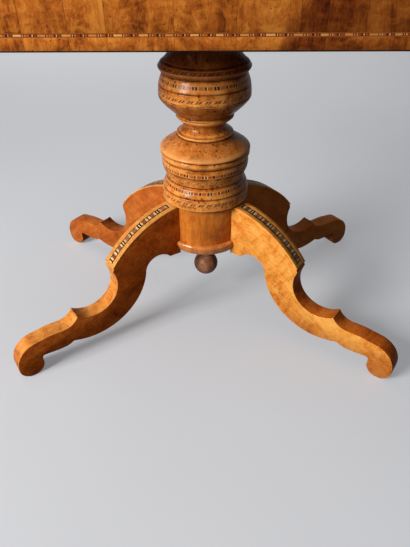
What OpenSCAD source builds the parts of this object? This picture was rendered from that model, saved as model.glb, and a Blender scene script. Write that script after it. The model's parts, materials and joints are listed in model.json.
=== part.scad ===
// Folding pedestal table: a two-leaf top that turns a quarter on its frieze and opens like a book,
// carried by a turned column on four flat sawn legs. Millimetres, +Z up, origin on the floor under
// the column. X runs along the front of the table, and the front faces -Y.

/* [Top leaves] */
// Length of each leaf along the front
top_w = 860; // [780:5:900]
// Depth of each leaf, half of the opened top
top_d = 430; // [400:5:450]
// Thickness of each leaf
leaf_t = 19; // [16:0.5:24]
// Gap between the two leaves when the top is folded
leaf_gap = 0.6; // [0.4:0.1:1]
// Radius of the leaf corners seen from above
leaf_corner_r = 6; // [3:0.5:12]

/* [Frieze] */
// Outside length of the frieze
frieze_w = 820; // [740:5:840]
// Outside depth of the frieze
frieze_d = 400; // [370:5:410]
// Height of the frieze boards
frieze_h = 104; // [95:1:125]
// Thickness of the frieze boards
frieze_t = 20; // [18:0.5:24]
// Height of the inlaid line above the lower edge of the frieze
line_up = 22.5; // [18:0.5:30]
// Width of the inlaid line
line_h = 5.5; // [4:0.5:8]
// Depth of the inlaid line
line_t = 1.5; // [1:0.1:2.5]
// Side of the dark square line at the lower edge of the frieze
edge_line = 2; // [1.5:0.1:3]
// Side of the blocks glued in the frieze corners
corner_block = 32; // [24:1:36]

/* [Well and deck] */
// Thickness of the floor of the card well
floor_t = 8; // [6:0.5:10]
// Thickness of the deck board that carries the pivot
deck_t = 18; // [16:0.5:22]
// Distance of the deck's left edge from the middle of the table
deck_x = 50; // [40:1:60]
// Thickness of the board that closes the well under the deck
divider_t = 12; // [9:0.5:15]

/* [Bearers] */
// Width of the two crossed bearers
bearer_w = 70; // [60:1:80]
// Thickness of the two crossed bearers
bearer_t = 25; // [22:0.5:30]
// Distance of each bearer screw from the middle
bearer_screw_r = 52; // [46:1:58]
// Length of the bearer screws
bearer_screw_l = 47; // [40:1:55]

/* [Column] */
// Height of the underside of the hub above the floor
hub_z = 180; // [176:1:188]
// Radius of the hub
hub_r = 80.5; // [79:0.5:82]
// Height of the hub
hub_h = 107; // [104:1:110]
// Height of ring D, the lowest banded ring
ring_d_h = 27.5; // [26:0.5:32]
// Height of ring C
ring_c_h = 22; // [21:0.5:26]
// Height of ring B
ring_b_h = 21.5; // [20:0.5:26]
// Height of ring A, the highest banded ring
ring_a_h = 19.5; // [18:0.5:24]
// Height of the ovolo ring
ovolo_h = 14.5; // [12:0.5:18]
// Height of the bulb
bulb_h = 30; // [27:0.5:36]
// Height of the neck with its two beads
neck_h = 44; // [40:0.5:50]
// Smallest radius of the neck
neck_r = 42.5; // [38:0.5:46]
// Height of the coned foot of the barrel
cone_h = 32.5; // [28:0.5:38]
// Height of the lower barrel band
band_low_h = 22; // [20:0.5:26]
// Height of the upper barrel band
band_up_h = 21; // [19:0.5:26]
// Largest radius of the barrel
barrel_r = 89.3; // [86:0.1:94]
// Height of the collar
collar_h = 20; // [18:0.5:24]
// Height of the cavetto block under the frieze
cavetto_h = 56.5; // [50:0.5:64]
// Largest radius of the lower rings
ring_r = 91.3; // [89.5:0.1:94]
// Height of the inlaid bands
inlay_h = 8; // [6:0.5:9]
// Depth of the inlaid bands
inlay_t = 2; // [1.5:0.1:2.5]
// Largest radius of the flange moulding
flange_r = 88.7; // [87:0.1:91]
// Height of the flange moulding
flange_h = 23; // [20:0.5:26]

/* [Spindle and tie rod] */
// Radius of the spindle inside the column
spindle_r = 20; // [18:0.5:24]
// Radius of the tie rod
rod_r = 6; // [5:0.5:8]
// Radius of the plate under the hub
plate_r = 72; // [66:1:74]
// Thickness of the plate under the hub
plate_t = 6; // [5:0.5:8]
// Radius of the ball of the finial
ball_r = 28; // [24:0.5:30]
// Height of the centre of the ball above the floor
ball_z = 101; // [90:1:106]
// Distance of each plate screw from the middle
plate_screw_r = 50; // [46:1:56]
// Length of the plate screws
plate_screw_l = 26; // [20:1:32]
// Radius of the washer under the tie rod's nut
rod_washer_r = 14; // [13:0.5:16]

/* [Legs] */
// Thickness of the sawn leg boards
leg_t = 36.5; // [32:0.5:40]
// Angle in plan between each leg and the front of the table
leg_angle = 34.5; // [30:0.5:38]
// Distance of the foot scroll's centre from the column axis
foot_reach = 445; // [437:1:455]
// Radius of the foot scroll
foot_r = 26; // [25:0.25:27.5]
// Depth of the flat worn on the underside of the foot scroll
foot_flat = 0.4; // [0.2:0.1:0.8]
// Radius of the shoulder arc
shoulder_r = 241; // [236:1:246]
// Distance of the beak in from the foot scroll's centre
beak_in = 203.5; // [200:0.5:207]
// Height of the beak above the underside of the hub
beak_up = 11.4; // [9:0.2:14]
// Radius of the hollow sweep between the beak and the knee
sweep_r = 60.5; // [58:0.5:63]
// Distance of the sweep's centre in from the knee
sweep_in = 37; // [35:0.5:39]
// Distance of the knee in from the foot scroll's centre
knee_in = 112; // [109:0.5:115]
// Height of the knee above the floor
knee_z = 106.5; // [104:0.5:109]
// Radius of the belly under the leg
belly_r = 135.5; // [132:0.5:138]
// Distance of the belly's outer end in from the foot scroll's centre
belly_in = 100; // [97:0.5:103]
// Height of the sole between the belly and the foot scroll
sole_z = 40.5; // [38.5:0.5:42.5]
// Radius of the hollow between the belly and the pad at the hub
hollow_r = 34.2; // [32:0.2:36]
// Drop of the leg's pad below the underside of the hub
pad_drop = 10; // [6:0.5:14]
// Thickness of the capping on the shoulder
cap_t = 3; // [2.5:0.1:4]
// Overhang of the capping past each face of the leg
cap_lip = 0.5; // [0.2:0.1:1]
// Width of the inlaid strip along the capping
strip_w = 15; // [12:0.5:18]
// Depth of the inlaid strip along the capping
strip_t = 1.5; // [1:0.1:2]
// Height of the dovetail tenon
tenon_h = 82; // [70:1:90]
// Length of the dovetail tenon into the hub
tenon_l = 22; // [16:0.5:26]
// Half width of the tenon at the surface of the hub
tenon_neck = 8; // [6:0.5:10]
// Half width of the tenon at its inner end
tenon_end = 11; // [10.5:0.5:13]

/* [Swivel] */
// Radius of the pivot shaft
pivot_r = 8; // [6:0.5:10]
// Side of the square pivot plate
pivot_plate_w = 70; // [60:1:74]
// Thickness of the pivot plate
pivot_plate_t = 3; // [2.5:0.5:5]
// Radius of the stop peg
peg_r = 4; // [3:0.5:5]
// Distance of the stop peg from the pivot
peg_reach = 47; // [44:1:52]
// Width across the flats of the pivot nut
pivot_nut_w = 26; // [24:1:32]
// Radius of the washer under the deck
pivot_washer_r = 18; // [16:0.5:22]
// Height of the pivot nut
pivot_nut_h = 10; // [8:0.5:12]
// Radius of the heads of the pivot plate's screws
pivot_screw_head_r = 3.4; // [3:0.1:4]
// Radius of the shafts of the pivot plate's screws
pivot_screw_r = 1.8; // [1.5:0.1:2]
// Length of the pivot plate's screws
pivot_screw_l = 14; // [10:0.5:15]
// Depth of the stop peg in the lower leaf
peg_depth = 8; // [6:0.5:10]
// Thickness of the felt pads that the lower leaf glides on
felt_t = 1.5; // [1:0.1:2.5]
// Length of each felt pad
felt_l = 60; // [40:5:80]

/* [Leaf hinges] */
// Radius of the hinge barrel
hinge_barrel_r = 4; // [3.5:0.1:5]
// Radius of the hinge pin
hinge_pin_r = 1.5; // [1.2:0.1:2]
// Length of each hinge
hinge_l = 60; // [48:1:75]
// Distance of each hinge from the middle of the table
hinge_x = 330; // [280:5:350]
// Height of each hinge plate on the leaf's edge
hinge_plate_h = 14; // [12:0.5:15]
// Thickness of each hinge plate
hinge_plate_t = 1.6; // [1.2:0.1:2]
// Height of the hinge screws above or below the hinge axis
hinge_screw_up = 9; // [7.5:0.5:10]
// Radius of the heads of the hinge screws
hinge_screw_head_r = 2.6; // [2.2:0.1:3]
// Radius of the shafts of the hinge screws
hinge_screw_r = 1.4; // [1.1:0.1:1.6]
// Length of the hinge screws
hinge_screw_l = 13; // [10:0.5:16]

/* [Hidden] */

$fn = 96;
// Clearances: glued joints, running gaps between moving faces, and shafts in their bores
fit = 0.1;
run_gap = 0.3;
bore_gap = 0.05;

// Heights of the joints up the column
ring_d_z = hub_z + hub_h;
ring_c_z = ring_d_z + ring_d_h;
ring_b_z = ring_c_z + ring_c_h;
ring_a_z = ring_b_z + ring_b_h;
ovolo_z = ring_a_z + ring_a_h;
bulb_z = ovolo_z + ovolo_h;
neck_z = bulb_z + bulb_h;
barrel_z = neck_z + neck_h;
band_low_z = barrel_z + cone_h;
band_up_z = band_low_z + band_low_h;
collar_z = band_up_z + band_up_h;
cavetto_z = collar_z + collar_h;
frieze_z = cavetto_z + cavetto_h;

// Heights and inside sizes of the frieze and the top
inner_w = frieze_w - 2 * frieze_t;
inner_d = frieze_d - 2 * frieze_t;
floor_z = frieze_z + bearer_t;
frieze_top = frieze_z + frieze_h;
deck_z = frieze_top - deck_t;
lower_z = frieze_top + felt_t + run_gap;
upper_z = lower_z + leaf_t + leaf_gap;
line_z = frieze_z + line_up;

// The opened top is centred when the pivot stands a quarter of its depth from both centre lines
pivot_x = top_d / 4;
pivot_y = top_d / 4;
peg_rest = -85;

// Hinge axis, half a gap behind the leaf's back edge and midway between the two leaves
hinge_back = 0.5;
hinge_y = top_d / 2 + hinge_back;
hinge_z = upper_z - leaf_gap / 2;
knuckle = hinge_l / 3;

// Leg outline in the plane of the board: first number out from the column axis, second up
// An arc of a set radius joins two points where the leg has to stretch with its reach
leg_root = hub_r + fit;
leg_top = ring_d_z - 0.5;
beak = [foot_reach - beak_in, hub_z + beak_up];
shoulder_c = centre_of(beak, [leg_root, leg_top], shoulder_r);
beak_angle = angle_to(shoulder_c, beak);
foot_c = [foot_reach, foot_r - foot_flat];
knee = [foot_reach - knee_in, knee_z];
sweep_c = [knee[0] - sweep_in, knee[1] + sqrt(pow(sweep_r, 2) - pow(sweep_in, 2))];
cove_c = [knee[0] + 33, knee[1] + 17];
cove_r = norm(knee - cove_c);
instep_c = [foot_c[0] + 0.5 - foot_r, foot_c[1] + 6];
instep_r = foot_c[0] + foot_r - instep_c[0];
hollow_c = [hub_r + 52, hub_z - 31];
belly_start = [hollow_c[0] + hollow_r, hollow_c[1]];
belly_end = [foot_reach - belly_in, sole_z + 5.2];
belly_c = centre_of(belly_start, belly_end, belly_r);
pad_z = hub_z - pad_drop;

nut_w = 19;
nut_h = 9;
washer_t = 2;
screw_r = 2;
screw_head_r = 4;
screw_head_t = 2.2;
LEG_ANGLES = [180 + leg_angle, -leg_angle, 180 - leg_angle, leg_angle];

function arc(c, r, a0, a1, n) =
  [for (i = [0:n]) c + r * [cos(a0 + (a1 - a0) * i / n), sin(a0 + (a1 - a0) * i / n)]];
function angle_to(c, p) = atan2(p[1] - c[1], p[0] - c[0]);
// The angle b, taken a full turn on or back to lie above or below the angle a
function above(a, b) = b < a ? b + 360 : b;
function below(a, b) = b > a ? b - 360 : b;
// Centre of the arc of radius r from a to b that bulges to the right of the way from a to b
function centre_of(a, b, r) = let (d = norm(b - a))
  (a + b) / 2 + sqrt(r * r - d * d / 4) / d * [a[1] - b[1], b[0] - a[0]];
function up_by(points, z) = [for (p = points) [p[0], p[1] + z]];

module spin(points) {
  rotate_extrude() polygon(points);
}

module ring_slab(r_in, r_out, z0, z1) {
  translate([0, 0, z0]) difference() {
    cylinder(r = r_out, h = z1 - z0);
    translate([0, 0, -1]) cylinder(r = r_in, h = z1 - z0 + 2);
  }
}

module turned(points, bore) {
  z_low = min([for (p = points) p[1]]);
  z_high = max([for (p = points) p[1]]);
  difference() {
    spin(points);
    translate([0, 0, z_low - 1]) cylinder(r = bore, h = z_high - z_low + 2);
  }
}

// A band of the turned outline between two heights, let in to a set depth
module band_of(points, r_in, z0, z1) {
  intersection() {
    spin(points);
    ring_slab(r_in + fit, r_in + 20, z0 + fit / 2, z1 - fit / 2);
  }
}

module turned_with_band(points, r_in, z0, z1) {
  difference() {
    turned(points, spindle_r + fit);
    ring_slab(r_in, r_in + 20, z0, z1);
  }
}

// Turned outlines, each from its own lower face, first number out from the axis
ring_d_line = concat(
  [[0, 0], [ring_r - 5.8, 0]],
  arc([ring_r - 5.8, 6.5], 6.5, -75, -20, 6),
  [[ring_r, 9], [ring_r, ring_d_h - 12], [ring_r - 1, ring_d_h - 5], [ring_r - 2.4, ring_d_h - 1.2],
   [ring_r - 4, ring_d_h], [0, ring_d_h]]);
ring_c_line = [[0, 0], [ring_r - 4, 0], [ring_r - 2.3, 1.2], [ring_r - 2.8, 3.5],
  [ring_r - 5.2, ring_c_h - 13], [ring_r - 8, ring_c_h - 7.5], [ring_r - 9.6, ring_c_h - 1],
  [ring_r - 11, ring_c_h], [0, ring_c_h]];
ring_b_line = [[0, 0], [ring_r - 11, 0], [ring_r - 9.6, 1], [ring_r - 9.2, 8],
  [ring_r - 7, ring_b_h - 8.5], [ring_r - 4.2, ring_b_h - 2.5], [ring_r - 3.6, ring_b_h - 1],
  [ring_r - 5, ring_b_h], [0, ring_b_h]];
ring_a_line = [[0, 0], [ring_r - 5, 0], [ring_r - 3.3, 1.2], [ring_r - 2.4, 5], [ring_r - 2.3, ring_a_h - 9],
  [ring_r - 2.9, ring_a_h - 4], [ring_r - 3.6, ring_a_h - 1], [ring_r - 5, ring_a_h], [0, ring_a_h]];
ovolo_line = concat(
  [[0, 0], [ring_r - 5, 0], [ring_r - 3.4, 0.8]],
  arc([ring_r - 7, ovolo_h / 2 + 1], 7, -35, 50, 8),
  [[ring_r - 5, ovolo_h], [0, ovolo_h]]);
bulb_line = [[0, 0], [ring_r - 1.5, 0], [ring_r + 0.3, 1.4], [ring_r + 0.7, 3], [ring_r, 5],
  [ring_r - 2.4, 7.6], [ring_r - 6, bulb_h - 20], [ring_r - 11, bulb_h - 16.6],
  [ring_r - 17, bulb_h - 12.9], [ring_r - 22, bulb_h - 9.6], [ring_r - 27, bulb_h - 6.2],
  [ring_r - 31, bulb_h - 3], [ring_r - 34, bulb_h], [0, bulb_h]];
neck_line = concat(
  [[0, 0], [neck_r + 13, 0]],
  arc([neck_r + 11.2, 3], 3.3, -50, 70, 6),
  [[neck_r + 11, 6.8], [neck_r + 8, 9.5], [neck_r + 4, 12.2], [neck_r + 1.3, 15], [neck_r, 18.5],
   [neck_r + 0.4, neck_h - 22], [neck_r + 2.5, neck_h - 18.4], [neck_r + 6.5, neck_h - 14.9],
   [neck_r + 11, neck_h - 12]],
  arc([neck_r + 9.6, neck_h - 6], 5.4, -60, 60, 8),
  [[neck_r + 12.6, neck_h], [0, neck_h]]);
barrel_low_line = [[0, 0], [barrel_r - 32, 0], [barrel_r - 30, 1], [barrel_r - 20.5, cone_h - 23.5],
  [barrel_r - 10.5, cone_h - 14], [barrel_r - 2.6, cone_h - 5], [barrel_r - 0.4, cone_h - 1],
  [barrel_r, cone_h + 2], [barrel_r - 1.4, cone_h + band_low_h - 1.6],
  [barrel_r - 3, cone_h + band_low_h], [0, cone_h + band_low_h]];
barrel_up_line = [[0, 0], [barrel_r - 3, 0], [barrel_r - 1.7, 1.4], [barrel_r - 7.4, band_up_h - 4],
  [barrel_r - 8.4, band_up_h - 1.2], [barrel_r - 9.8, band_up_h], [0, band_up_h]];
collar_line = [[0, 0], [barrel_r - 9.8, 0], [barrel_r - 7.6, 1.2], [barrel_r - 4.6, 4.4],
  [barrel_r - 2.2, 8], [barrel_r - 1.5, 11], [barrel_r - 2.2, 14], [barrel_r - 4.4, collar_h - 4.4],
  [barrel_r - 8, collar_h - 1.6], [barrel_r - 12, collar_h], [0, collar_h]];
cavetto_line = concat(
  [[0, 0], [barrel_r - 13.3, 0], [barrel_r - 13.3, 2]],
  [for (p = arc([barrel_r + 4, 24], 27.3, 232, 180, 8)) p],
  [for (p = arc([barrel_r + 4, 24], 27.3, 180, 128, 8)) p],
  [[barrel_r - 9, cavetto_h - 9], [barrel_r - 5.3, cavetto_h - 8], [barrel_r - 5.3, cavetto_h],
   [0, cavetto_h]]);
flange_line = concat(
  [[hub_r + fit, 0], [flange_r - 5.7, 0], [flange_r - 4.2, 1.6], [flange_r - 1, flange_h - 11.5]],
  arc([flange_r - 6.6, flange_h - 7], 6.6, -20, 90, 9),
  [[hub_r + fit, flange_h - 0.4]]);
finial_line = concat(
  [[0, ball_z - ball_r]],
  arc([0, ball_z], ball_r, -85, 62, 24),
  [[14.5, ball_z + ball_r - 0.5], [15.5, ball_z + ball_r + 1.5], [14, ball_z + ball_r + 4],
   [11, ball_z + ball_r + 9], [10.5, hub_z - plate_t - 24], [12.5, hub_z - plate_t - 14],
   [18, hub_z - plate_t - 8], [22, hub_z - plate_t - 5.5], [22, hub_z - plate_t],
   [0, hub_z - plate_t]]);

// Depth radius and heights of each inlaid band, from its own ring's lower face
ring_d_band = [ring_r - 0.8 - inlay_t, 13.5];
ring_c_band = [ring_r - 8.8 - inlay_t, 8.5];
ring_b_band = [ring_r - 9.2 - inlay_t, 9.5];
ring_a_band = [ring_r - 2.8 - inlay_t, 3.4];
barrel_low_band = [barrel_r - 0.8 - inlay_t, cone_h + 6.5];
barrel_up_band = [barrel_r - 6.8 - inlay_t, 7];
collar_band = [barrel_r - 6 - inlay_t, 10.8];
rope_h = inlay_h - 1;

module ring_d() {
  color("#a8642e") translate([0, 0, ring_d_z])
    turned_with_band(ring_d_line, ring_d_band[0], ring_d_band[1], ring_d_band[1] + rope_h);
}
module inlay_ring_d() {
  color("#c98a45") translate([0, 0, ring_d_z])
    band_of(ring_d_line, ring_d_band[0], ring_d_band[1], ring_d_band[1] + rope_h);
}
module ring_c() {
  color("#b06a30") translate([0, 0, ring_c_z])
    turned_with_band(ring_c_line, ring_c_band[0], ring_c_band[1], ring_c_band[1] + inlay_h);
}
module inlay_ring_c() {
  color("#d29a55") translate([0, 0, ring_c_z])
    band_of(ring_c_line, ring_c_band[0], ring_c_band[1], ring_c_band[1] + inlay_h);
}
module ring_b() {
  color("#a8642e") translate([0, 0, ring_b_z])
    turned_with_band(ring_b_line, ring_b_band[0], ring_b_band[1], ring_b_band[1] + rope_h);
}
module inlay_ring_b() {
  color("#c98a45") translate([0, 0, ring_b_z])
    band_of(ring_b_line, ring_b_band[0], ring_b_band[1], ring_b_band[1] + rope_h);
}
module ring_a() {
  color("#b06a30") translate([0, 0, ring_a_z])
    turned_with_band(ring_a_line, ring_a_band[0], ring_a_band[1], ring_a_band[1] + inlay_h);
}
module inlay_ring_a() {
  color("#d29a55") translate([0, 0, ring_a_z])
    band_of(ring_a_line, ring_a_band[0], ring_a_band[1], ring_a_band[1] + inlay_h);
}
module ovolo() {
  color("#b9702f") translate([0, 0, ovolo_z]) turned(ovolo_line, spindle_r + fit);
}
module bulb() {
  color("#b8722f") translate([0, 0, bulb_z]) turned(bulb_line, spindle_r + fit);
}
module neck() {
  color("#b4682c") translate([0, 0, neck_z]) turned(neck_line, spindle_r + fit);
}
module barrel_lower() {
  color("#a9652c") translate([0, 0, barrel_z])
    turned_with_band(barrel_low_line, barrel_low_band[0], barrel_low_band[1],
                     barrel_low_band[1] + rope_h);
}
module inlay_barrel_lower() {
  color("#c98a45") translate([0, 0, barrel_z])
    band_of(barrel_low_line, barrel_low_band[0], barrel_low_band[1], barrel_low_band[1] + rope_h);
}
module barrel_upper() {
  color("#b06a30") translate([0, 0, band_up_z])
    turned_with_band(barrel_up_line, barrel_up_band[0], barrel_up_band[1],
                     barrel_up_band[1] + inlay_h);
}
module inlay_barrel_upper() {
  color("#d29a55") translate([0, 0, band_up_z])
    band_of(barrel_up_line, barrel_up_band[0], barrel_up_band[1], barrel_up_band[1] + inlay_h);
}
module collar() {
  color("#8f5226") translate([0, 0, collar_z])
    turned_with_band(collar_line, collar_band[0], collar_band[1], collar_band[1] + rope_h - 1);
}
module inlay_collar() {
  color("#b67a3c") translate([0, 0, collar_z])
    band_of(collar_line, collar_band[0], collar_band[1], collar_band[1] + rope_h - 1);
}
module cavetto() {
  color("#6b3d1e") difference() {
    translate([0, 0, cavetto_z]) turned(cavetto_line, spindle_r + fit);
    bearer_screw_shafts(screw_r + fit / 2, fit);
  }
}

// Legs
sweep_start = angle_to(sweep_c, beak - [1, 12]);
belly_from = angle_to(belly_c, belly_end);
leg_line = concat(
  arc(shoulder_c, shoulder_r - cap_t - fit, angle_to(shoulder_c, [leg_root - 6, leg_top]), beak_angle, 24),
  [[beak[0] + 0.4, beak[1] - 7.5]],
  arc(sweep_c, sweep_r, sweep_start, above(sweep_start, angle_to(sweep_c, knee)), 22),
  arc(cove_c, cove_r, above(0, angle_to(cove_c, knee)), 270, 8),
  [[cove_c[0] + 14, cove_c[1] - cove_r + 0.5], [cove_c[0] + 26, cove_c[1] - cove_r + 0.4],
   [cove_c[0] + 37, cove_c[1] - cove_r - 0.6], [cove_c[0] + 46, cove_c[1] - cove_r - 2.2]],
  arc(instep_c, instep_r, 82, 0, 16),
  arc(foot_c, foot_r, 0, -80, 10),
  [[foot_c[0], 0]],
  arc(foot_c, foot_r, -100, -196, 12),
  [[foot_c[0] - 27, sole_z + 0.8], [foot_c[0] - 31, sole_z + 1.6], [foot_c[0] - 42, sole_z + 1],
   [foot_c[0] - 62, sole_z - 0.8], [foot_c[0] - 80, sole_z], [foot_c[0] - 89, sole_z + 3],
   [foot_c[0] - 95, belly_end[1] + 1]],
  arc(belly_c, belly_r, belly_from, below(belly_from, angle_to(belly_c, belly_start)), 30),
  arc(hollow_c, hollow_r, 4, 180 - asin((pad_z - hollow_c[1]) / hollow_r), 14),
  [[leg_root - 6, pad_z]]);

module tenon_plan(grow) {
  polygon([[hub_r + 4, -tenon_neck - grow], [hub_r + 4, tenon_neck + grow],
           [hub_r, tenon_neck + grow], [hub_r - tenon_l - grow, tenon_end + grow],
           [hub_r - tenon_l - grow, -tenon_end - grow], [hub_r, -tenon_neck - grow]]);
}

module board(points, w) {
  rotate([90, 0, 0]) translate([0, 0, -w / 2]) linear_extrude(w) polygon(points);
}

module leg(i) {
  color("#c07a35") rotate([0, 0, LEG_ANGLES[i]]) union() {
    difference() {
      board(leg_line, leg_t);
      translate([0, 0, pad_z - 1]) cylinder(r = leg_root, h = hub_h + pad_drop + 10);
    }
    translate([0, 0, hub_z]) linear_extrude(tenon_h) tenon_plan(0);
  }
}

cap_start = angle_to(shoulder_c, [leg_root - 6, leg_top]);
strip_start = angle_to(shoulder_c, [ring_r + 4, leg_top]);
strip_end = beak_angle + 1.6;

module arc_board(r_in, r_out, a0, a1, w) {
  board(concat(arc(shoulder_c, r_out, a0, a1, 24), arc(shoulder_c, r_in, a1, a0, 24)), w);
}

module strip_solid(grow, rise) {
  arc_board(shoulder_r - strip_t - grow, shoulder_r + rise, strip_start + grow / 4,
            strip_end - grow / 4, strip_w + 2 * grow);
}

module cap(i) {
  color("#d29346") rotate([0, 0, LEG_ANGLES[i]]) difference() {
    arc_board(shoulder_r - cap_t, shoulder_r, cap_start, beak_angle, leg_t + 2 * cap_lip);
    translate([0, 0, pad_z]) cylinder(r = leg_root, h = hub_h + pad_drop + 10);
    strip_solid(fit / 2, 2);
  }
}

module leg_strips() {
  color("#7a4a30") for (a = LEG_ANGLES) rotate([0, 0, a]) strip_solid(0, 0);
}

// Hub and what closes it
module hub() {
  color("#b5682c") difference() {
    translate([0, 0, hub_z]) cylinder(r = hub_r, h = hub_h);
    translate([0, 0, hub_z - 1]) cylinder(r = spindle_r + fit, h = hub_h + 2);
    for (a = LEG_ANGLES) rotate([0, 0, a]) translate([0, 0, hub_z - 1])
      linear_extrude(tenon_h + 1 + fit) tenon_plan(fit);
    plate_screw_shafts(screw_r + fit / 2);
  }
}

module plate_screw_shafts(r) {
  for (a = [0:90:270]) rotate([0, 0, a]) translate([plate_screw_r, 0, hub_z - plate_t])
    cylinder(r = r, h = plate_screw_l);
}

module flange() {
  color("#b0662d") translate([0, 0, hub_z]) difference() {
    spin(flange_line);
    for (a = LEG_ANGLES) rotate([0, 0, a]) translate([0, -leg_t / 2 - fit, -1])
      cube([flange_r + 10, leg_t + 2 * fit, flange_h + 2]);
  }
}

module hub_plate() {
  color("#5a3a22") difference() {
    translate([0, 0, hub_z - plate_t]) cylinder(r = plate_r, h = plate_t);
    translate([0, 0, hub_z - plate_t - 1]) cylinder(r = rod_r + fit, h = plate_t + 2);
    plate_screw_shafts(screw_r + fit / 2);
    for (a = [0:90:270]) rotate([0, 0, a]) translate([plate_screw_r, 0, hub_z - plate_t - 1])
      cylinder(r = screw_head_r + fit / 2, h = screw_head_t + 1);
  }
}

module hub_plate_screws() {
  color("#3a3632") {
    plate_screw_shafts(screw_r);
    for (a = [0:90:270]) rotate([0, 0, a]) translate([plate_screw_r, 0, hub_z - plate_t])
      cylinder(r = screw_head_r, h = screw_head_t);
  }
}

module finial() {
  color("#4a2c1c") difference() {
    spin(finial_line);
    translate([0, 0, ball_z - 2]) cylinder(r = rod_r + bore_gap, h = hub_z);
  }
}

module spindle() {
  color("#c8a06a") translate([0, 0, hub_z]) difference() {
    cylinder(r = spindle_r, h = frieze_z - hub_z);
    translate([0, 0, -1]) cylinder(r = rod_r + fit, h = frieze_z - hub_z + 2);
  }
}

nut_sink = nut_h + washer_t + 3;
module tie_rod() {
  color("#55504a") translate([0, 0, ball_z]) cylinder(r = rod_r, h = floor_z - 1 - ball_z);
}
module tie_nut() {
  color("#6a655c") translate([0, 0, floor_z - nut_sink]) {
    difference() {
      cylinder(r = rod_washer_r, h = washer_t);
      translate([0, 0, -1]) cylinder(r = rod_r + bore_gap, h = washer_t + 2);
    }
    translate([0, 0, washer_t]) difference() {
      cylinder(r = nut_w / 2 / cos(30), h = nut_h, $fn = 6);
      translate([0, 0, -1]) cylinder(r = rod_r + bore_gap, h = nut_h + 2);
    }
  }
}

// Bearers, half-lapped at the middle
module bearer_bar(l, w) {
  translate([-l / 2, -w / 2, frieze_z]) cube([l, w, bearer_t]);
}

module bearer_holes() {
  translate([0, 0, frieze_z - 1]) cylinder(r = rod_r + fit, h = bearer_t + 2);
  translate([0, 0, floor_z - nut_sink]) cylinder(r = rod_washer_r + fit, h = nut_sink + 1);
  for (a = [0:90:270]) rotate([0, 0, a]) translate([bearer_screw_r, 0, 0]) {
    translate([0, 0, frieze_z - 1]) cylinder(r = screw_r + fit / 2, h = bearer_t + 2);
    translate([0, 0, floor_z - screw_head_t]) cylinder(r = screw_head_r + fit / 2, h = screw_head_t + 1);
  }
}

module bearer_long() {
  color("#b98a58") difference() {
    bearer_bar(inner_w - 2 * fit, bearer_w);
    translate([-bearer_w / 2 - fit, -bearer_w, frieze_z + bearer_t / 2])
      cube([bearer_w + 2 * fit, 2 * bearer_w, bearer_t]);
    bearer_holes();
  }
}

module bearer_cross() {
  color("#b08050") difference() {
    rotate([0, 0, 90]) bearer_bar(inner_d - 2 * fit, bearer_w);
    translate([-bearer_w, -bearer_w / 2 - fit, frieze_z - bearer_t / 2])
      cube([2 * bearer_w, bearer_w + 2 * fit, bearer_t]);
    bearer_holes();
  }
}

module bearer_screw_shafts(r, deeper) {
  for (a = [0:90:270]) rotate([0, 0, a])
    translate([bearer_screw_r, 0, floor_z - bearer_screw_l - deeper])
      cylinder(r = r, h = bearer_screw_l + deeper);
}

module bearer_screws() {
  color("#3a3632") {
    bearer_screw_shafts(screw_r, 0);
    for (a = [0:90:270]) rotate([0, 0, a]) translate([bearer_screw_r, 0, floor_z - screw_head_t])
      cylinder(r = screw_head_r, h = screw_head_t);
  }
}

// Frieze boards, with the inlaid line and the dark edge line let into their outside
module frieze_ring(depth, z0, z1) {
  translate([-frieze_w / 2, -frieze_d / 2, z0]) difference() {
    cube([frieze_w, frieze_d, z1 - z0]);
    translate([depth, depth, -1]) cube([frieze_w - 2 * depth, frieze_d - 2 * depth, z1 - z0 + 2]);
  }
}

module line_grooves() {
  frieze_ring(line_t + fit, line_z - line_h / 2, line_z + line_h / 2);
  frieze_ring(edge_line + fit, frieze_z - 1, frieze_z + edge_line);
}

module long_board(y0) {
  color("#a85c28") difference() {
    translate([-frieze_w / 2, y0, frieze_z]) cube([frieze_w, frieze_t, frieze_h]);
    line_grooves();
  }
}

module end_board(x0) {
  color("#9c5526") difference() {
    translate([x0, -inner_d / 2 + fit, frieze_z]) cube([frieze_t, inner_d - 2 * fit, frieze_h]);
    line_grooves();
  }
}

module strips_round(depth, z0, z1) {
  for (s = [-1, 1]) {
    translate([-frieze_w / 2, s * (frieze_d - depth) / 2 - depth / 2, z0])
      cube([frieze_w, depth, z1 - z0]);
    translate([s * (frieze_w - depth) / 2 - depth / 2, -frieze_d / 2 + depth + fit, z0])
      cube([depth, frieze_d - 2 * depth - 2 * fit, z1 - z0]);
  }
}

module frieze_line() {
  color("#d9b070") strips_round(line_t, line_z - line_h / 2 + fit / 2, line_z + line_h / 2 - fit / 2);
}
module frieze_edge_line() {
  color("#2c1a12") strips_round(edge_line, frieze_z, frieze_z + edge_line - fit / 2);
}

module corner_blocks() {
  color("#b98a58") for (sx = [-1, 1], sy = [-1, 1])
    translate([sx * (inner_w - corner_block) / 2 - sx * fit - corner_block / 2,
               sy * (inner_d - corner_block) / 2 - sy * 2 * fit - corner_block / 2, frieze_z])
      cube([corner_block, corner_block, bearer_t]);
}

module well_floor() {
  color("#c49a66") translate([-inner_w / 2 + fit, -inner_d / 2 + fit, floor_z])
    cube([inner_w - 2 * fit, inner_d - 2 * fit, floor_t]);
}

module well_divider() {
  color("#b98a58") translate([deck_x, -inner_d / 2 + fit, floor_z + floor_t])
    cube([divider_t, inner_d - 2 * fit, deck_z - floor_z - floor_t]);
}

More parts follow.
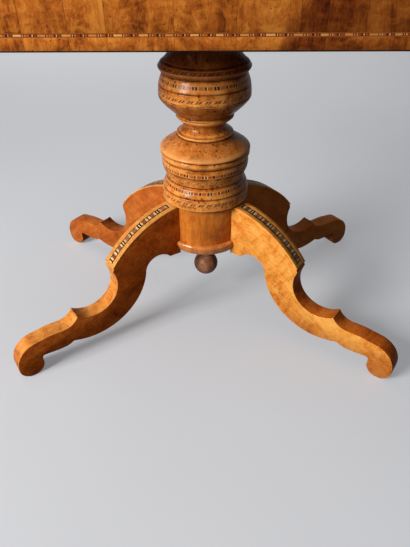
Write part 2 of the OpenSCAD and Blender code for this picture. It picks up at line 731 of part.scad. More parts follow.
// The deck's slot lets the peg swing a quarter turn about the pivot
peg_room = peg_r + run_gap;
module deck() {
  color("#b98a58") difference() {
    translate([deck_x, -inner_d / 2 + fit, deck_z])
      cube([inner_w / 2 - deck_x - fit, inner_d - 2 * fit, deck_t]);
    translate([pivot_x, pivot_y, deck_z - 1]) {
      cylinder(r = pivot_r + bore_gap, h = deck_t + 2);
      intersection() {
        ring_slab(peg_reach - peg_room, peg_reach + peg_room, 0, deck_t + 2);
        rotate([0, 0, peg_rest]) translate([-peg_room, -peg_room, 0])
          cube([2 * peg_reach, 2 * peg_reach, deck_t + 2]);
      }
    }
  }
}

module felt_pads() {
  color("#3f5a3c") {
    for (x = [-1, 0, 1], s = [-1, 1])
      translate([x * frieze_w / 3 - felt_l / 2, s * (frieze_d - frieze_t) / 2 - frieze_t / 4, frieze_top])
        cube([felt_l, frieze_t / 2, felt_t]);
    for (s = [-1, 1])
      translate([s * (frieze_w - frieze_t) / 2 - frieze_t / 4, -felt_l / 2, frieze_top])
        cube([frieze_t / 2, felt_l, felt_t]);
  }
}

// Swivel
module pivot_washer() {
  color("#8a8072") translate([pivot_x, pivot_y, deck_z - washer_t]) difference() {
    cylinder(r = pivot_washer_r, h = washer_t);
    translate([0, 0, -1]) cylinder(r = pivot_r + run_gap, h = washer_t + 2);
  }
}

// The pivot's shaft goes on a little past its nut
nut_top = deck_z - washer_t - run_gap;
shaft_end = nut_top - pivot_nut_h - 2;
module pivot_plate() {
  color("#7d7568") difference() {
    union() {
      translate([pivot_x - pivot_plate_w / 2, pivot_y - pivot_plate_w / 2, lower_z])
        cube([pivot_plate_w, pivot_plate_w, pivot_plate_t]);
      translate([pivot_x, pivot_y, shaft_end]) cylinder(r = pivot_r, h = lower_z + 1 - shaft_end);
    }
    pivot_screws(fit / 2, 1);
  }
}

// Wood screw with its head's face at the origin, driven along +Z, or the room for one
module wood_screw(head_r, head_t, shaft_r, l, grow, proud) {
  translate([0, 0, -proud]) cylinder(r = head_r + grow, h = head_t + proud);
  cylinder(r = shaft_r + grow, h = l + grow);
}

module pivot_screws(grow, proud) {
  at = pivot_plate_w / 2 - 3 * pivot_screw_head_r;
  for (sx = [-1, 1], sy = [-1, 1]) translate([pivot_x + sx * at, pivot_y + sy * at, lower_z])
    wood_screw(pivot_screw_head_r, pivot_plate_t / 2, pivot_screw_r, pivot_screw_l, grow, proud);
}

// side is -1 for the screws of the lower plates and 1 for those of the upper plates
module hinge_screws(side, grow, proud) {
  for (s = [-1, 1], i = [-1, 0, 1])
    translate([s * hinge_x + i * hinge_l / 3, top_d / 2, hinge_z + side * hinge_screw_up]) rotate([90, 0, 0])
      wood_screw(hinge_screw_head_r, hinge_plate_t / 2, hinge_screw_r, hinge_screw_l, grow, proud);
}

module pivot_nut() {
  color("#6a655c") translate([pivot_x, pivot_y, nut_top - pivot_nut_h]) difference() {
    cylinder(r = pivot_nut_w / 2 / cos(30), h = pivot_nut_h, $fn = 6);
    translate([0, 0, -1]) cylinder(r = pivot_r + bore_gap, h = pivot_nut_h + 2);
  }
}

module at_peg() {
  translate([pivot_x, pivot_y, 0]) rotate([0, 0, peg_rest]) translate([peg_reach, 0, 0]) children();
}

// The peg ends a little above the underside of the deck
peg_end = deck_z + 4;
module stop_peg() {
  color("#8a6a40") at_peg() translate([0, 0, peg_end])
    cylinder(r = peg_r, h = lower_z + peg_depth - peg_end);
}

// Leaves
module leaf_plate(z) {
  r = leaf_corner_r;
  translate([0, 0, z]) union() {
    translate([-top_w / 2 + r, -top_d / 2, 0]) cube([top_w - 2 * r, top_d, leaf_t]);
    translate([-top_w / 2, -top_d / 2 + r, 0]) cube([top_w, top_d - 2 * r, leaf_t]);
    for (sx = [-1, 1], sy = [-1, 1])
      translate([sx * (top_w / 2 - r), sy * (top_d / 2 - r), 0]) cylinder(r = r, h = leaf_t);
  }
}

module hinge_barrel(x0, l, r) {
  translate([x0, hinge_y, hinge_z]) rotate([0, 90, 0]) cylinder(r = r, h = l);
}

// Room in a leaf for both hinges: the barrel and the plate on the edge
module hinge_seat(z0) {
  for (s = [-1, 1]) {
    hinge_barrel(s * hinge_x - hinge_l / 2 - run_gap, hinge_l + 2 * run_gap,
                 hinge_barrel_r + run_gap);
    translate([s * hinge_x - hinge_l / 2 - fit, top_d / 2 - hinge_plate_t - fit, z0])
      cube([hinge_l + 2 * fit, hinge_plate_t + 2, hinge_plate_h + fit]);
  }
}

module leaf_lower() {
  color("#a9642f") difference() {
    leaf_plate(lower_z);
    hinge_seat(hinge_z - hinge_plate_h - fit);
    translate([pivot_x - pivot_plate_w / 2 - fit, pivot_y - pivot_plate_w / 2 - fit, lower_z - 1])
      cube([pivot_plate_w + 2 * fit, pivot_plate_w + 2 * fit, pivot_plate_t + 1]);
    at_peg() translate([0, 0, lower_z - 1]) cylinder(r = peg_r + bore_gap, h = peg_depth + 1);
    pivot_screws(fit / 2, 0);
    hinge_screws(-1, fit / 2, 0);
  }
}

module leaf_upper() {
  color("#b06c34") difference() {
    leaf_plate(upper_z);
    hinge_seat(hinge_z);
    hinge_screws(1, fit / 2, 0);
  }
}

// side is -1 for the plates on the lower leaf and 1 for the plates on the upper leaf
module hinge_half(side) {
  outer = side < 0;
  for (s = [-1, 1]) {
    x0 = s * hinge_x - hinge_l / 2;
    difference() {
      union() {
        translate([x0, top_d / 2 - hinge_plate_t, side < 0 ? hinge_z - hinge_plate_h : hinge_z])
          cube([hinge_l, hinge_plate_t, hinge_plate_h]);
        if (outer) {
          hinge_barrel(x0, knuckle - run_gap, hinge_barrel_r);
          hinge_barrel(x0 + 2 * knuckle + run_gap, knuckle - run_gap, hinge_barrel_r);
        } else {
          hinge_barrel(x0 + knuckle, knuckle, hinge_barrel_r);
        }
      }
      hinge_barrel(x0 - 1, hinge_l + 2, hinge_pin_r + (outer ? bore_gap / 2 : bore_gap));
      hinge_screws(side, fit / 2, 1);
      if (outer) {
        hinge_barrel(x0 + knuckle - run_gap, knuckle + 2 * run_gap, hinge_barrel_r + run_gap);
      } else {
        hinge_barrel(x0 - 1, knuckle + 1, hinge_barrel_r + run_gap);
        hinge_barrel(x0 + 2 * knuckle, knuckle + 1, hinge_barrel_r + run_gap);
      }
    }
  }
}

module hinge_plates_lower() { color("#c9a24a") hinge_half(-1); }
module hinge_plates_upper() { color("#c9a24a") hinge_half(1); }
module leaf_screws_lower() {
  color("#b8924a") {
    hinge_screws(-1, 0, 0);
    pivot_screws(0, 0);
  }
}
module leaf_screws_upper() { color("#b8924a") hinge_screws(1, 0, 0); }
module hinge_pins() {
  color("#b08c3c") for (s = [-1, 1]) hinge_barrel(s * hinge_x - hinge_l / 2, hinge_l, hinge_pin_r);
}

leg(0);  // leg_front_left
leg(1);  // leg_front_right
leg(2);  // leg_back_left
leg(3);  // leg_back_right
cap(0);  // cap_front_left
cap(1);  // cap_front_right
cap(2);  // cap_back_left
cap(3);  // cap_back_right
leg_strips();
hub();
flange();
hub_plate();
hub_plate_screws();
finial();
spindle();
tie_rod();
tie_nut();
ring_d();
ring_c();
ring_b();
ring_a();
ovolo();
bulb();
neck();
barrel_lower();
barrel_upper();
collar();
cavetto();
inlay_ring_d();
inlay_ring_c();
inlay_ring_b();
inlay_ring_a();
inlay_barrel_lower();
inlay_barrel_upper();
inlay_collar();
bearer_long();
bearer_cross();
bearer_screws();
long_board(-frieze_d / 2);  // frieze_front
long_board(frieze_d / 2 - frieze_t);  // frieze_back
end_board(-frieze_w / 2);  // frieze_left
end_board(frieze_w / 2 - frieze_t);  // frieze_right
frieze_line();
frieze_edge_line();
corner_blocks();
well_floor();
well_divider();
deck();
felt_pads();
pivot_washer();
leaf_lower();
pivot_plate();
pivot_nut();
stop_peg();
hinge_plates_lower();
leaf_screws_lower();
hinge_pins();
leaf_upper();
hinge_plates_upper();
leaf_screws_upper();
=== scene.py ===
# %% [markdown]
# # A folding pedestal table
# The table is an old-fashioned card table, plain in outline: a folded two-leaf top over a shallow
# frieze, a turned column built up from rings, and four flat sawn legs. Its size, joints and pieces
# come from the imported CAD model. This script only dresses that model: it softens the edges a hand
# plane would soften, lays the small inlay blocks one by one, and gives every surface its wood, metal
# or felt.

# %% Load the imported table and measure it
import json
import math

import bmesh
import bpy
import numpy as np
from mathutils import Matrix, Vector


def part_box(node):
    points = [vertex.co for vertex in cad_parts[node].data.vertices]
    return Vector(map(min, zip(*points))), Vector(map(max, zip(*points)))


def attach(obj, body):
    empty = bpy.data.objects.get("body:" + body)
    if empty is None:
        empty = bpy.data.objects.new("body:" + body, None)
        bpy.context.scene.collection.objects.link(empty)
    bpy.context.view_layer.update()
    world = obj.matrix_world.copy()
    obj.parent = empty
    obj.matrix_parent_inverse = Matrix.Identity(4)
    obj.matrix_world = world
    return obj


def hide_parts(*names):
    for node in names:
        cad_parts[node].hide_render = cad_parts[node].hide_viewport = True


MM = 0.001
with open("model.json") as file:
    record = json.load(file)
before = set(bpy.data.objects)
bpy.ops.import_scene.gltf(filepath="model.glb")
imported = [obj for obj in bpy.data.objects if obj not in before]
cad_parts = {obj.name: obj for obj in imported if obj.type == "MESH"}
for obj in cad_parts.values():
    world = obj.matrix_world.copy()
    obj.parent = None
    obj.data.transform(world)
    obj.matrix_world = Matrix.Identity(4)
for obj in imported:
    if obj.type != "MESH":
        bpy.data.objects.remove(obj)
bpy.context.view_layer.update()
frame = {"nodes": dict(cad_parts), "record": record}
record = frame["record"]
body_of = {node: body for body, nodes in record["behaviour"]["bodies"].items() for node in nodes}
slot_of = {part["node"]: part["material_slot"] for part in record["subparts"]}

# %% [markdown]
# ## The camera
# The photograph looks down on the table from a standing eye, close by, so the column leans and the
# back legs look small. The lens, place and angles were found by matching measured marks on the legs
# and column, and are set once here. The longer side of the picture is its height.

# %% Place the camera
EYE = Vector((0.0144, -0.9577, 0.79175))
EYE_TURN, EYE_DOWN, EYE_ROLL = 0.017486, 0.648179, -0.0076171
LENS_MM, SENSOR_MM = 32.3805, 36.0


def put_in_scene(name, data):
    """A new object in the scene that holds a camera, a lamp or a mesh."""
    holder = bpy.data.objects.new(name, data)
    bpy.context.scene.collection.objects.link(holder)
    return holder


camera_data = bpy.data.cameras.new("camera")
camera_data.lens = LENS_MM
camera_data.sensor_width = SENSOR_MM
camera = put_in_scene("camera", camera_data)
camera.matrix_world = (Matrix.Translation(EYE)
                       @ Matrix.Rotation(EYE_TURN, 4, "Z")
                       @ Matrix.Rotation(math.pi / 2 - EYE_DOWN, 4, "X")
                       @ Matrix.Rotation(EYE_ROLL, 4, "Z"))
bpy.context.scene.camera = camera
print("camera at", [round(v, 3) for v in EYE], "lens", LENS_MM)

# %% [markdown]
# ## A helper for node trees
# Materials and Geometry Nodes are both trees of nodes. Wiring them by hand takes two lines for each
# node, which hides the recipe. This small class adds a node, fills its sockets and gives back the
# socket it makes, so a recipe reads from top to bottom like a list of steps.


# %% Write the recipe helper
class Recipe:
    """Adds nodes to one tree; a value that is itself a socket is linked, any other is set."""

    def __init__(self, tree):
        self.tree = tree

    def add(self, kind, values=None, give=0, **settings):
        node = self.tree.nodes.new(kind)
        for name, value in settings.items():
            setattr(node, name, value)
        for key, value in (values or {}).items():
            if isinstance(value, bpy.types.NodeSocket):
                self.tree.links.new(value, node.inputs[key])
            else:
                node.inputs[key].default_value = value
        return node.outputs[give] if len(node.outputs) else node

    def math(self, operation, *values):
        return self.add("ShaderNodeMath", dict(enumerate(values)), operation=operation)

    def times(self, a, b, *plus):
        return self.math("MULTIPLY_ADD" if plus else "MULTIPLY", a, b, *plus)

    def plus(self, a, b):
        return self.math("ADD", a, b)

    def less(self, a, b):
        return self.math("SUBTRACT", a, b)

    def size(self, a):
        return self.math("ABSOLUTE", a)

    def vector(self, operation, a, b, give=0):
        return self.add("ShaderNodeVectorMath", {0: a, 1: b}, give, operation=operation)

    def scaled(self, vector, factors):
        return self.vector("MULTIPLY", vector, factors)

    def xyz(self, x=0.0, y=0.0, z=0.0):
        return self.add("ShaderNodeCombineXYZ", {0: x, 1: y, 2: z})

    def parts(self, vector):
        node = self.tree.nodes.new("ShaderNodeSeparateXYZ")
        self.tree.links.new(vector, node.inputs[0])
        return tuple(node.outputs)

    def place(self):
        return self.add("ShaderNodeTexCoord", give="Object")

    def read(self, name, give="Fac"):
        return self.add("ShaderNodeAttribute", give=give, attribute_name=name)

    def noise(self, vector, scale, detail=2.0, rough=0.5, wander=0.0, give="Fac"):
        values = {"Vector": self.scaled(vector, scale), "Scale": 1.0, "Detail": detail,
                  "Roughness": rough, "Distortion": wander}
        return self.add("ShaderNodeTexNoise", values, give)

    def mixed(self, factor, a, b, blend="MIX"):
        return self.add("ShaderNodeMix", {0: factor, 6: a, 7: b}, 2, data_type="RGBA", blend_type=blend)

    def between(self, value, low, high, give_low=0.0, give_high=1.0, style="SMOOTHSTEP"):
        values = {"Value": value, "From Min": low, "From Max": high,
                  "To Min": give_low, "To Max": give_high}
        return self.add("ShaderNodeMapRange", values, interpolation_type=style)

    def ramp(self, value, stops):
        node = self.tree.nodes.new("ShaderNodeValToRGB")
        self.tree.links.new(value, node.inputs["Fac"])
        marks = node.color_ramp.elements
        while len(marks) < len(stops):
            marks.new(0.5)
        for mark, (place, tone) in zip(marks, stops):
            mark.position, mark.color = place, tint(*tone)
        return node.outputs["Color"]

    def bump(self, height, strength, distance):
        return self.add("ShaderNodeBump", {"Strength": strength, "Distance": distance, "Height": height})

    def finish(self, sockets):
        face = self.add("ShaderNodeBsdfPrincipled", sockets)
        self.add("ShaderNodeOutputMaterial", {"Surface": face})


def tint(*tone):
    """A colour as it looks on screen, 0 to 255, turned into the linear numbers that Blender mixes."""
    linear = [((c / 255 + 0.055) / 1.055) ** 2.4 if c > 10 else c / 255 / 12.92 for c in tone]
    return (*linear, 1.0)


def cleared(owner):
    """An empty recipe for a material or for the world."""
    owner.use_nodes = True
    owner.node_tree.nodes.clear()
    return Recipe(owner.node_tree)


def new_finish(name):
    """An empty material and the recipe that will fill it."""
    material = bpy.data.materials.new(name)
    return material, cleared(material)


# %% [markdown]
# ## Light and background
# The photograph was taken in a studio with one large soft lamp at the left, a little in front of the
# table and low enough to reach under the top. The faces turned to the right stay dark. A weak fill
# and a panel overhead keep them readable. The lamps are set so that a colour facing the key light
# comes out about as it is written. The grey behind the table is there for the eye, and weaker for
# mirror images in the polish. It hardly lights the table.

# %% Set up the studio
KEY_TONE, FILL_TONE = (1.0, 0.97, 0.93), (0.92, 0.95, 1.0)
AIR_GREY, AIR_TONE, AIR_LEVEL = tint(190, 191, 194), (0.95, 0.97, 1.0, 1.0), 0.035
MIRRORED = 0.45
# Each lamp: name, place, aim, side, level and tone.
LAMPS = (("key_lamp", (-2.21, -1.70, 1.58), (0, 0, 0.35), 1.2, 1.27, KEY_TONE),
         ("front_fill", (0.2, -3.0, 1.2), (0, 0, 0.3), 1.6, 0.02, FILL_TONE),
         ("sky_panel", (-0.6, 0.2, 3.4), (0, 0, 0.3), 2.2, 0.19, FILL_TONE))


def soft_lamp(name, place, aim, side, level, tone):
    """A square lamp of a given side that lights a surface facing it, at its aim, at the given level."""
    lamp = bpy.data.lights.new(name, "AREA")
    way = Vector(aim) - Vector(place)
    lamp.energy = level * (math.pi * way.length) ** 2
    lamp.size = side
    lamp.color = tone
    aimed = way.to_track_quat("-Z", "Y").to_matrix().to_4x4()
    put_in_scene(name, lamp).matrix_world = Matrix.Translation(place) @ aimed


def looked_at(mix):
    """1 for the camera, less for mirror images in polish, 0 for light that bounces between surfaces."""
    path = mix.tree.nodes.new("ShaderNodeLightPath")
    mirrored = mix.times(path.outputs["Is Glossy Ray"], MIRRORED)
    mirrored = mix.math("MAXIMUM", mirrored, path.outputs["Is Transmission Ray"])
    return mix.math("MAXIMUM", path.outputs["Is Camera Ray"], mirrored)


for lamp in LAMPS:
    soft_lamp(*lamp)

world = bpy.data.worlds.new("studio_air")
bpy.context.scene.world = world
air = cleared(world)
air_light = air.add("ShaderNodeBackground", {"Color": AIR_TONE, "Strength": AIR_LEVEL})
air_seen = air.add("ShaderNodeBackground", {"Color": AIR_GREY, "Strength": 1.0})
air_mix = air.add("ShaderNodeMixShader", {0: looked_at(air), 1: air_light, 2: air_seen})
air.add("ShaderNodeOutputWorld", {"Surface": air_mix})

bpy.context.scene.view_settings.view_transform = "Standard"
print("studio lamps", len(LAMPS))

# %% [markdown]
# ## The floor
# The floor is one wide sheet of grey paper. It is a stage piece, not part of the table. Faint, large
# clouds in its colour keep it from looking like a flat computer plane. Three lamps can't light it as
# evenly as a studio does, so to the eye it also glows: on a gentle slope near the table, and more
# strongly far off, where the lamps no longer reach. The table gets nothing of that glow but a weaker
# mirror image.

# %% Lay the floor
FLOOR_HALF = 14.0
PAPER_BOUNCE = tint(100, 100, 102)
PAPER_TONES = ((0.3, (183, 186, 191)), (0.7, (187, 190, 195)))
GLOW_TONE = (0.975, 0.99, 1.035, 1.0)
FLOOR_GLOW, GLOW_X, GLOW_Y, GLOW_XX, GLOW_XY, GLOW_YY = 0.237, 0.080, 0.061, -0.016, -0.051, 0.012
SLOPE_ENDS = ((-1.4, 1.3), (-0.8, 2.4))
FAR_GLOW, FAR_BEGINS, FAR_ENDS, FAR_FROM = 0.3, 2.2, 6.0, (0.0, 0.8, 0.0)

floor_paper, paper = new_finish("floor_paper")
place = paper.place()
looks = looked_at(paper)
paper_seen = paper.ramp(paper.noise(place, (1.3, 1.3, 1.3)), PAPER_TONES)
paper_colour = paper.mixed(looks, PAPER_BOUNCE, paper_seen)
paper_face = paper.add("ShaderNodeBsdfPrincipled", {"Base Color": paper_colour, "Roughness": 0.9,
                                                   "Specular IOR Level": 0.0})
east, north = [paper.math("MINIMUM", paper.math("MAXIMUM", part, low), high)
               for part, (low, high) in zip(paper.parts(place), SLOPE_ENDS)]
slope_x = paper.times(north, GLOW_XY, paper.times(east, GLOW_XX, GLOW_X))
slope_y = paper.times(north, GLOW_YY, GLOW_Y)
glow = paper.times(east, slope_x, paper.times(north, slope_y, FLOOR_GLOW))
distance = paper.vector("DISTANCE", place, FAR_FROM, "Value")
far_glow = paper.between(distance, FAR_BEGINS, FAR_ENDS, 0.0, FAR_GLOW)
glow = paper.plus(paper.math("MAXIMUM", glow, 0.0), far_glow)
paper_lift = paper.add("ShaderNodeEmission", {"Color": GLOW_TONE, "Strength": paper.times(glow, looks)})
paper_both = paper.add("ShaderNodeAddShader", {0: paper_face, 1: paper_lift})
paper.add("ShaderNodeOutputMaterial", {"Surface": paper_both})

sheet = bpy.data.meshes.new("studio_floor")
sheet.from_pydata([(x * FLOOR_HALF, y * FLOOR_HALF, 0) for x, y in ((-1, -1), (1, -1), (1, 1), (-1, 1))],
                  [], [(0, 1, 2, 3)])
sheet.materials.append(floor_paper)
studio_floor = put_in_scene("studio_floor", sheet)
print("floor half width", FLOOR_HALF)

# %% [markdown]
# ## Wood
# All the wood of this table is polished, but the boards differ: the legs are plain boards with a curly
# figure, the turnings are full of pin knots, and the veneers are the wildest. They share one recipe. Wood
# is a bundle of long fibres, so noise stretched along the grain gives streaks, pores and broad changes of
# tone. Each piece carries its own grain direction in an attribute named "grain", whose first number runs
# along the fibres. The edges are brightened as wear, and partly as a painted highlight; the hollows are
# darkened as old polish and dust, and partly as painted shade; and the feet are darker towards the floor.
# The old varnish gives its gloss an amber tone.

# %% Write the wood recipe
# Each feature: its usual weight, its scale along, across and through the grain, and its noise settings.
# A row of two or four numbers further down is a slope: from and to, and what it gives at both ends.
FIGURE = {"streak": (0.9, (7, 95, 95), 4.0, 0.6), "patch": (0.8, (6, 15, 15), 2.0),
          "mottle": (0.3, (38, 48, 48), 3.0, 0.6), "curl": (0.25, (70, 20, 20), 2.0, 0.5, 0.8),
          "fine": (0.35, (45, 900, 900), 2.0), "burl": (0.0, (130, 210, 210), 3.0, 0.75, 0.6)}
TONE_STOPS = (0.22, 0.5, 0.78)
DRIFT_SCALE, DRIFT = (9, 14, 14), (0.03, 0.022, 0.022)
PORE_SCALE, PORE_OPENS, PORE_DEPTH = (160, 2300, 2300), (0.62, 0.74), 0.35
KNOT_SCALE, KNOT_EDGE, KNOT_DEPTH = (120, 150, 150), (-0.08, 0.1), 0.85
CROWD_SCALE, CROWD_OPENS, CROWD = (26, 30, 30), (0.3, 0.62), 0.38
RAGGED_SCALE, RAGGED = (420, 420, 420), (0.0022, 0.0022, 0.0022)
# The first row darkens the legs towards the floor.
FOOT_TONE, FOOT_BLUR, FOOT_DARKENS = (0.62, 0.47, 0.5, 1.0), 0.04, (0.11, 0.045, 0.0, 0.9)
# The last tone here darkens the hollows: dust and old polish, and partly painted shade.
STAIN_TONE, SEAM_TONE, DUST_AND_SHADE_TONE = (0.32, 0.21, 0.22, 1.0), tint(40, 18, 8), (0.1, 0.05, 0.025, 1.0)
DUST_AND_SHADE_SCALE, DUST_AND_SHADE_PATCHES = (60, 60, 60), (0.3, 0.7, 0.6, 1.0)
# The ridge numbers pale the ridges of the turnings: rubbing and a painted highlight.
RIDGE_STEP, RIDGE_HIGHLIGHT = 14, 0.55
# These edge numbers brighten the edges: wear, and partly a painted highlight.
EDGE_PATCH_SCALE, WEAR_AND_HIGHLIGHT_STEP, EDGE_TURN = (35, 70, 70), 18, (0.995, 0.86)
WORN_AND_LIT_FAINTLY, WORN_AND_LIT_STRONGLY = (0.4, 0.62, 0.1, 0.7), (0.4, 0.62, 0.7, 1.0)
GLOSS_SWING, RELIEF, RELIEF_DEPTH = 0.22, 0.25, 0.4 * MM
AMBER, COAT_ROUGH = (1.0, 0.78, 0.55, 1.0), 0.14


def paler(tone, step):
    return [min(255, part + step) for part in tone]


def wood(name, deep, middle, light, knots=0.0, speck=(52, 24, 12), sway=1.0, laying=None, darker_towards_floor=False,
         hollows=False, wear_and_highlight=0.0, rub_and_highlight=None, rough=0.34, coat=0.1, shine=0.16, **weights):
    """Polished wood in three tones; weights change how strong the features of its figure are."""
    material, mix = new_finish(name)
    grain = mix.read("grain", "Vector")
    tone, seam, stain = 0.5, None, None
    if laying:
        tone, seam, stain, grain = laying(mix, grain)
    drift = mix.vector("SUBTRACT", mix.noise(grain, DRIFT_SCALE, give="Color"), (0.5, 0.5, 0.5))
    fibre = mix.vector("ADD", grain, mix.scaled(drift, tuple(reach * sway for reach in DRIFT)))
    shades = {}
    for feature, (usual, *noise) in FIGURE.items():
        weight = weights.get(feature, usual)
        if weight:
            shades[feature] = mix.noise(fibre, *noise)
            tone = mix.times(mix.less(shades[feature], 0.5), weight, tone)
    colour = mix.ramp(tone, list(zip(TONE_STOPS, (deep, middle, light))))
    pores = mix.between(mix.noise(fibre, PORE_SCALE, 1.0), *PORE_OPENS)
    colour = mix.mixed(mix.times(pores, PORE_DEPTH), colour, tint(*deep))
    if knots:
        ragged = mix.noise(grain, RAGGED_SCALE, 1.0, give="Color")
        ragged = mix.vector("ADD", grain, mix.scaled(ragged, RAGGED))
        cell = mix.add("ShaderNodeTexVoronoi", {"Vector": mix.scaled(ragged, KNOT_SCALE), "Scale": 1.0})
        crowd = mix.between(mix.noise(grain, CROWD_SCALE, 3.0), *CROWD_OPENS, 0.0, CROWD * knots)
        spot = mix.between(mix.less(crowd, cell), *KNOT_EDGE)
        colour = mix.mixed(mix.times(spot, KNOT_DEPTH), colour, tint(*speck))
    # Darker towards the floor.
    if darker_towards_floor:
        low = mix.plus(mix.parts(mix.place())[2], mix.times(shades["patch"], FOOT_BLUR))
        colour = mix.mixed(mix.between(low, *FOOT_DARKENS), colour, FOOT_TONE, "MULTIPLY")
    if laying:
        colour = mix.mixed(stain, colour, STAIN_TONE, "MULTIPLY")
        colour = mix.mixed(seam, colour, SEAM_TONE)
    # The hollows darkened: dust and old polish, and partly painted shade.
    if hollows:
        uneven = mix.between(mix.noise(grain, DUST_AND_SHADE_SCALE), *DUST_AND_SHADE_PATCHES)
        colour = mix.mixed(mix.times(mix.read("hollow"), uneven), colour, DUST_AND_SHADE_TONE, "MULTIPLY")
        # Paler ridges on the turnings: rubbing and a painted highlight.
        ridge = mix.times(mix.read("ridge"), RIDGE_HIGHLIGHT)
        colour = mix.mixed(ridge, colour, tint(*paler(light, RIDGE_STEP)))
    # Brighter edges: wear, and on the legs, cappings and turnings also a painted highlight.
    if wear_and_highlight:
        rounded = mix.add("ShaderNodeBevel", {"Radius": wear_and_highlight}, samples=4)
        facing = mix.add("ShaderNodeNewGeometry", give="Normal")
        rubbed_and_lit = mix.between(mix.vector("DOT_PRODUCT", rounded, facing, "Value"), *EDGE_TURN)
        patchy = mix.between(mix.noise(grain, EDGE_PATCH_SCALE), *(WORN_AND_LIT_STRONGLY if rub_and_highlight else WORN_AND_LIT_FAINTLY))
        colour = mix.mixed(mix.times(rubbed_and_lit, patchy), colour, tint(*(rub_and_highlight or paler(light, WEAR_AND_HIGHLIGHT_STEP))))
    gloss = mix.times(mix.less(shades["streak"], 0.5), GLOSS_SWING, rough)
    height = mix.times(pores, -0.5, mix.times(shades["fine"], 0.5))
    mix.finish({"Base Color": colour, "Roughness": gloss, "Coat Weight": coat,
                "Normal": mix.bump(height, RELIEF, RELIEF_DEPTH), "Coat Roughness": COAT_ROUGH,
                "Specular IOR Level": shine, "Specular Tint": AMBER})
    return material


print("features of the figure:", ", ".join(FIGURE))

# %% [markdown]
# Each wood has three tones, from deep to light, and its own mixture of the features. The two front legs
# have one wood on their flat sides and another on their sawn edges: the darker of the two is painted shade
# on the faces turned away from the lamp.

# %% Mix the woods
# The pale rub colours brighten the edges as wear and as a painted highlight.
LEG_FIGURE = dict(streak=0.4, patch=0.5, mottle=0.5, curl=0.6, burl=0.6, knots=0.38, hollows=True,
                  wear_and_highlight=2.2 * MM, coat=0.04, shine=0.06, darker_towards_floor=True, rub_and_highlight=(255, 206, 132))
BACK_FIGURE = dict(streak=0.4, patch=0.5, mottle=0.6, curl=0.2, burl=0.3, knots=0.25, hollows=True,
                   wear_and_highlight=1.8 * MM, coat=0.04, shine=0.06)
CAP_FIGURE = dict(streak=0.6, patch=0.5, curl=0.2, wear_and_highlight=2.4 * MM, rub_and_highlight=(255, 220, 150))

LEG_WOOD = wood("leg_wood", (204, 110, 36), (244, 160, 68), (255, 190, 100), **LEG_FIGURE)
LEG_EDGE_WOOD = wood("leg_edge_wood", (176, 94, 32), (224, 142, 64), (242, 176, 94), **LEG_FIGURE)
# A darker, redder wood for the faces of the front legs turned from the lamp: painted shade.
LEG_SHADE_WOOD = wood("leg_painted_shade_wood", (144, 62, 17), (206, 102, 32), (230, 132, 52), streak=0.3,
                     patch=0.5, mottle=0.6, curl=0.4, burl=0.6, knots=0.45, hollows=True,
                     wear_and_highlight=2.2 * MM, coat=0.0, shine=0.03, rub_and_highlight=(236, 160, 86))
# The back left leg's wood is darker and redder, partly as painted shade from the top on a leg far from the
# lamp.
BACK_LEFT_SHADED_WOOD = wood("back_left_shaded_wood", (144, 64, 20), (190, 98, 38), (216, 132, 60), **BACK_FIGURE)
BACK_RIGHT_WOOD = wood("back_right_wood", (192, 91, 29), (238, 131, 50), (252, 166, 79), **BACK_FIGURE)
CAP_WOOD = wood("capping_wood", (182, 104, 38), (224, 148, 66), (242, 180, 98), coat=0.04, shine=0.06,
                **CAP_FIGURE)
# The right cappings take a paler, more orange wood than the left ones: painted light where the lamps leave
# them darker.
RIGHT_CAP_LIT_WOOD = wood("right_capping_painted_light_wood", (226, 116, 32), (255, 168, 62), (255, 198, 100), coat=0.02,
                      shine=0.04, **CAP_FIGURE)
TURNED_WOOD = wood("turned_wood", (146, 68, 19), (226, 131, 50), (248, 172, 86), streak=0.4, patch=0.6,
                   mottle=0.9, curl=0.2, burl=0.5, knots=0.8, hollows=True, wear_and_highlight=1.4 * MM, rough=0.24,
                   coat=0.14)
BULB_WOOD = wood("bulb_wood", (134, 63, 20), (211, 122, 49), (233, 158, 83), streak=0.3, patch=0.7,
                 mottle=0.9, curl=0.2, burl=0.6, knots=0.85, hollows=True, rough=0.26, speck=(80, 38, 16))
HUB_WOOD = wood("hub_wood", (170, 84, 24), (226, 130, 44), (244, 160, 70), streak=0.45, patch=0.6,
                mottle=0.45, curl=0.15, burl=0.35, fine=0.5, hollows=True, rough=0.26, coat=0.14)
BEAD_WOOD = wood("bead_wood", (150, 74, 26), (218, 130, 58), (240, 168, 96), streak=0.4, patch=0.6,
                 mottle=0.8, curl=0.15, burl=0.5, knots=0.5, hollows=True, rough=0.2, coat=0.5, shine=0.4)
DARK_TURNED = wood("turned_dark", (76, 37, 16), (146, 78, 33), (186, 110, 50), streak=0.5, patch=0.6,
                   mottle=0.8, curl=0.2, burl=0.5, knots=0.9, hollows=True, coat=0.04, shine=0.08)
FINIAL_WOOD = wood("finial_wood", (92, 50, 31), (160, 104, 73), (206, 148, 110), streak=0.6, mottle=0.6,
                   burl=0.5, hollows=True)
PLAIN_WOOD = wood("inner_softwood", (160, 116, 70), (192, 148, 96), (214, 176, 124), streak=1.0,
                  patch=0.4, curl=0.05, wear_and_highlight=1.2 * MM, rough=0.6, coat=0.0)
# Near-black wood for the string under the frieze, partly a painted shadow.
DARK_LINE_AND_SHADOW = wood("edge_line_and_shadow_wood", (24, 13, 9), (46, 25, 16), (74, 42, 26), rough=0.3)
print("wood finishes", sum(m.name.endswith("wood") for m in bpy.data.materials))

# %% [markdown]
# ## Pieces that keep their CAD shape
# Boards, hub and hinges already have the right shape, but a CAD edge is as sharp as a razor and no
# real edge is. A copy of each is merged into one skin, its flat sides become single faces, and a
# Bevel modifier rounds what is left. The copy then stands in for the node.

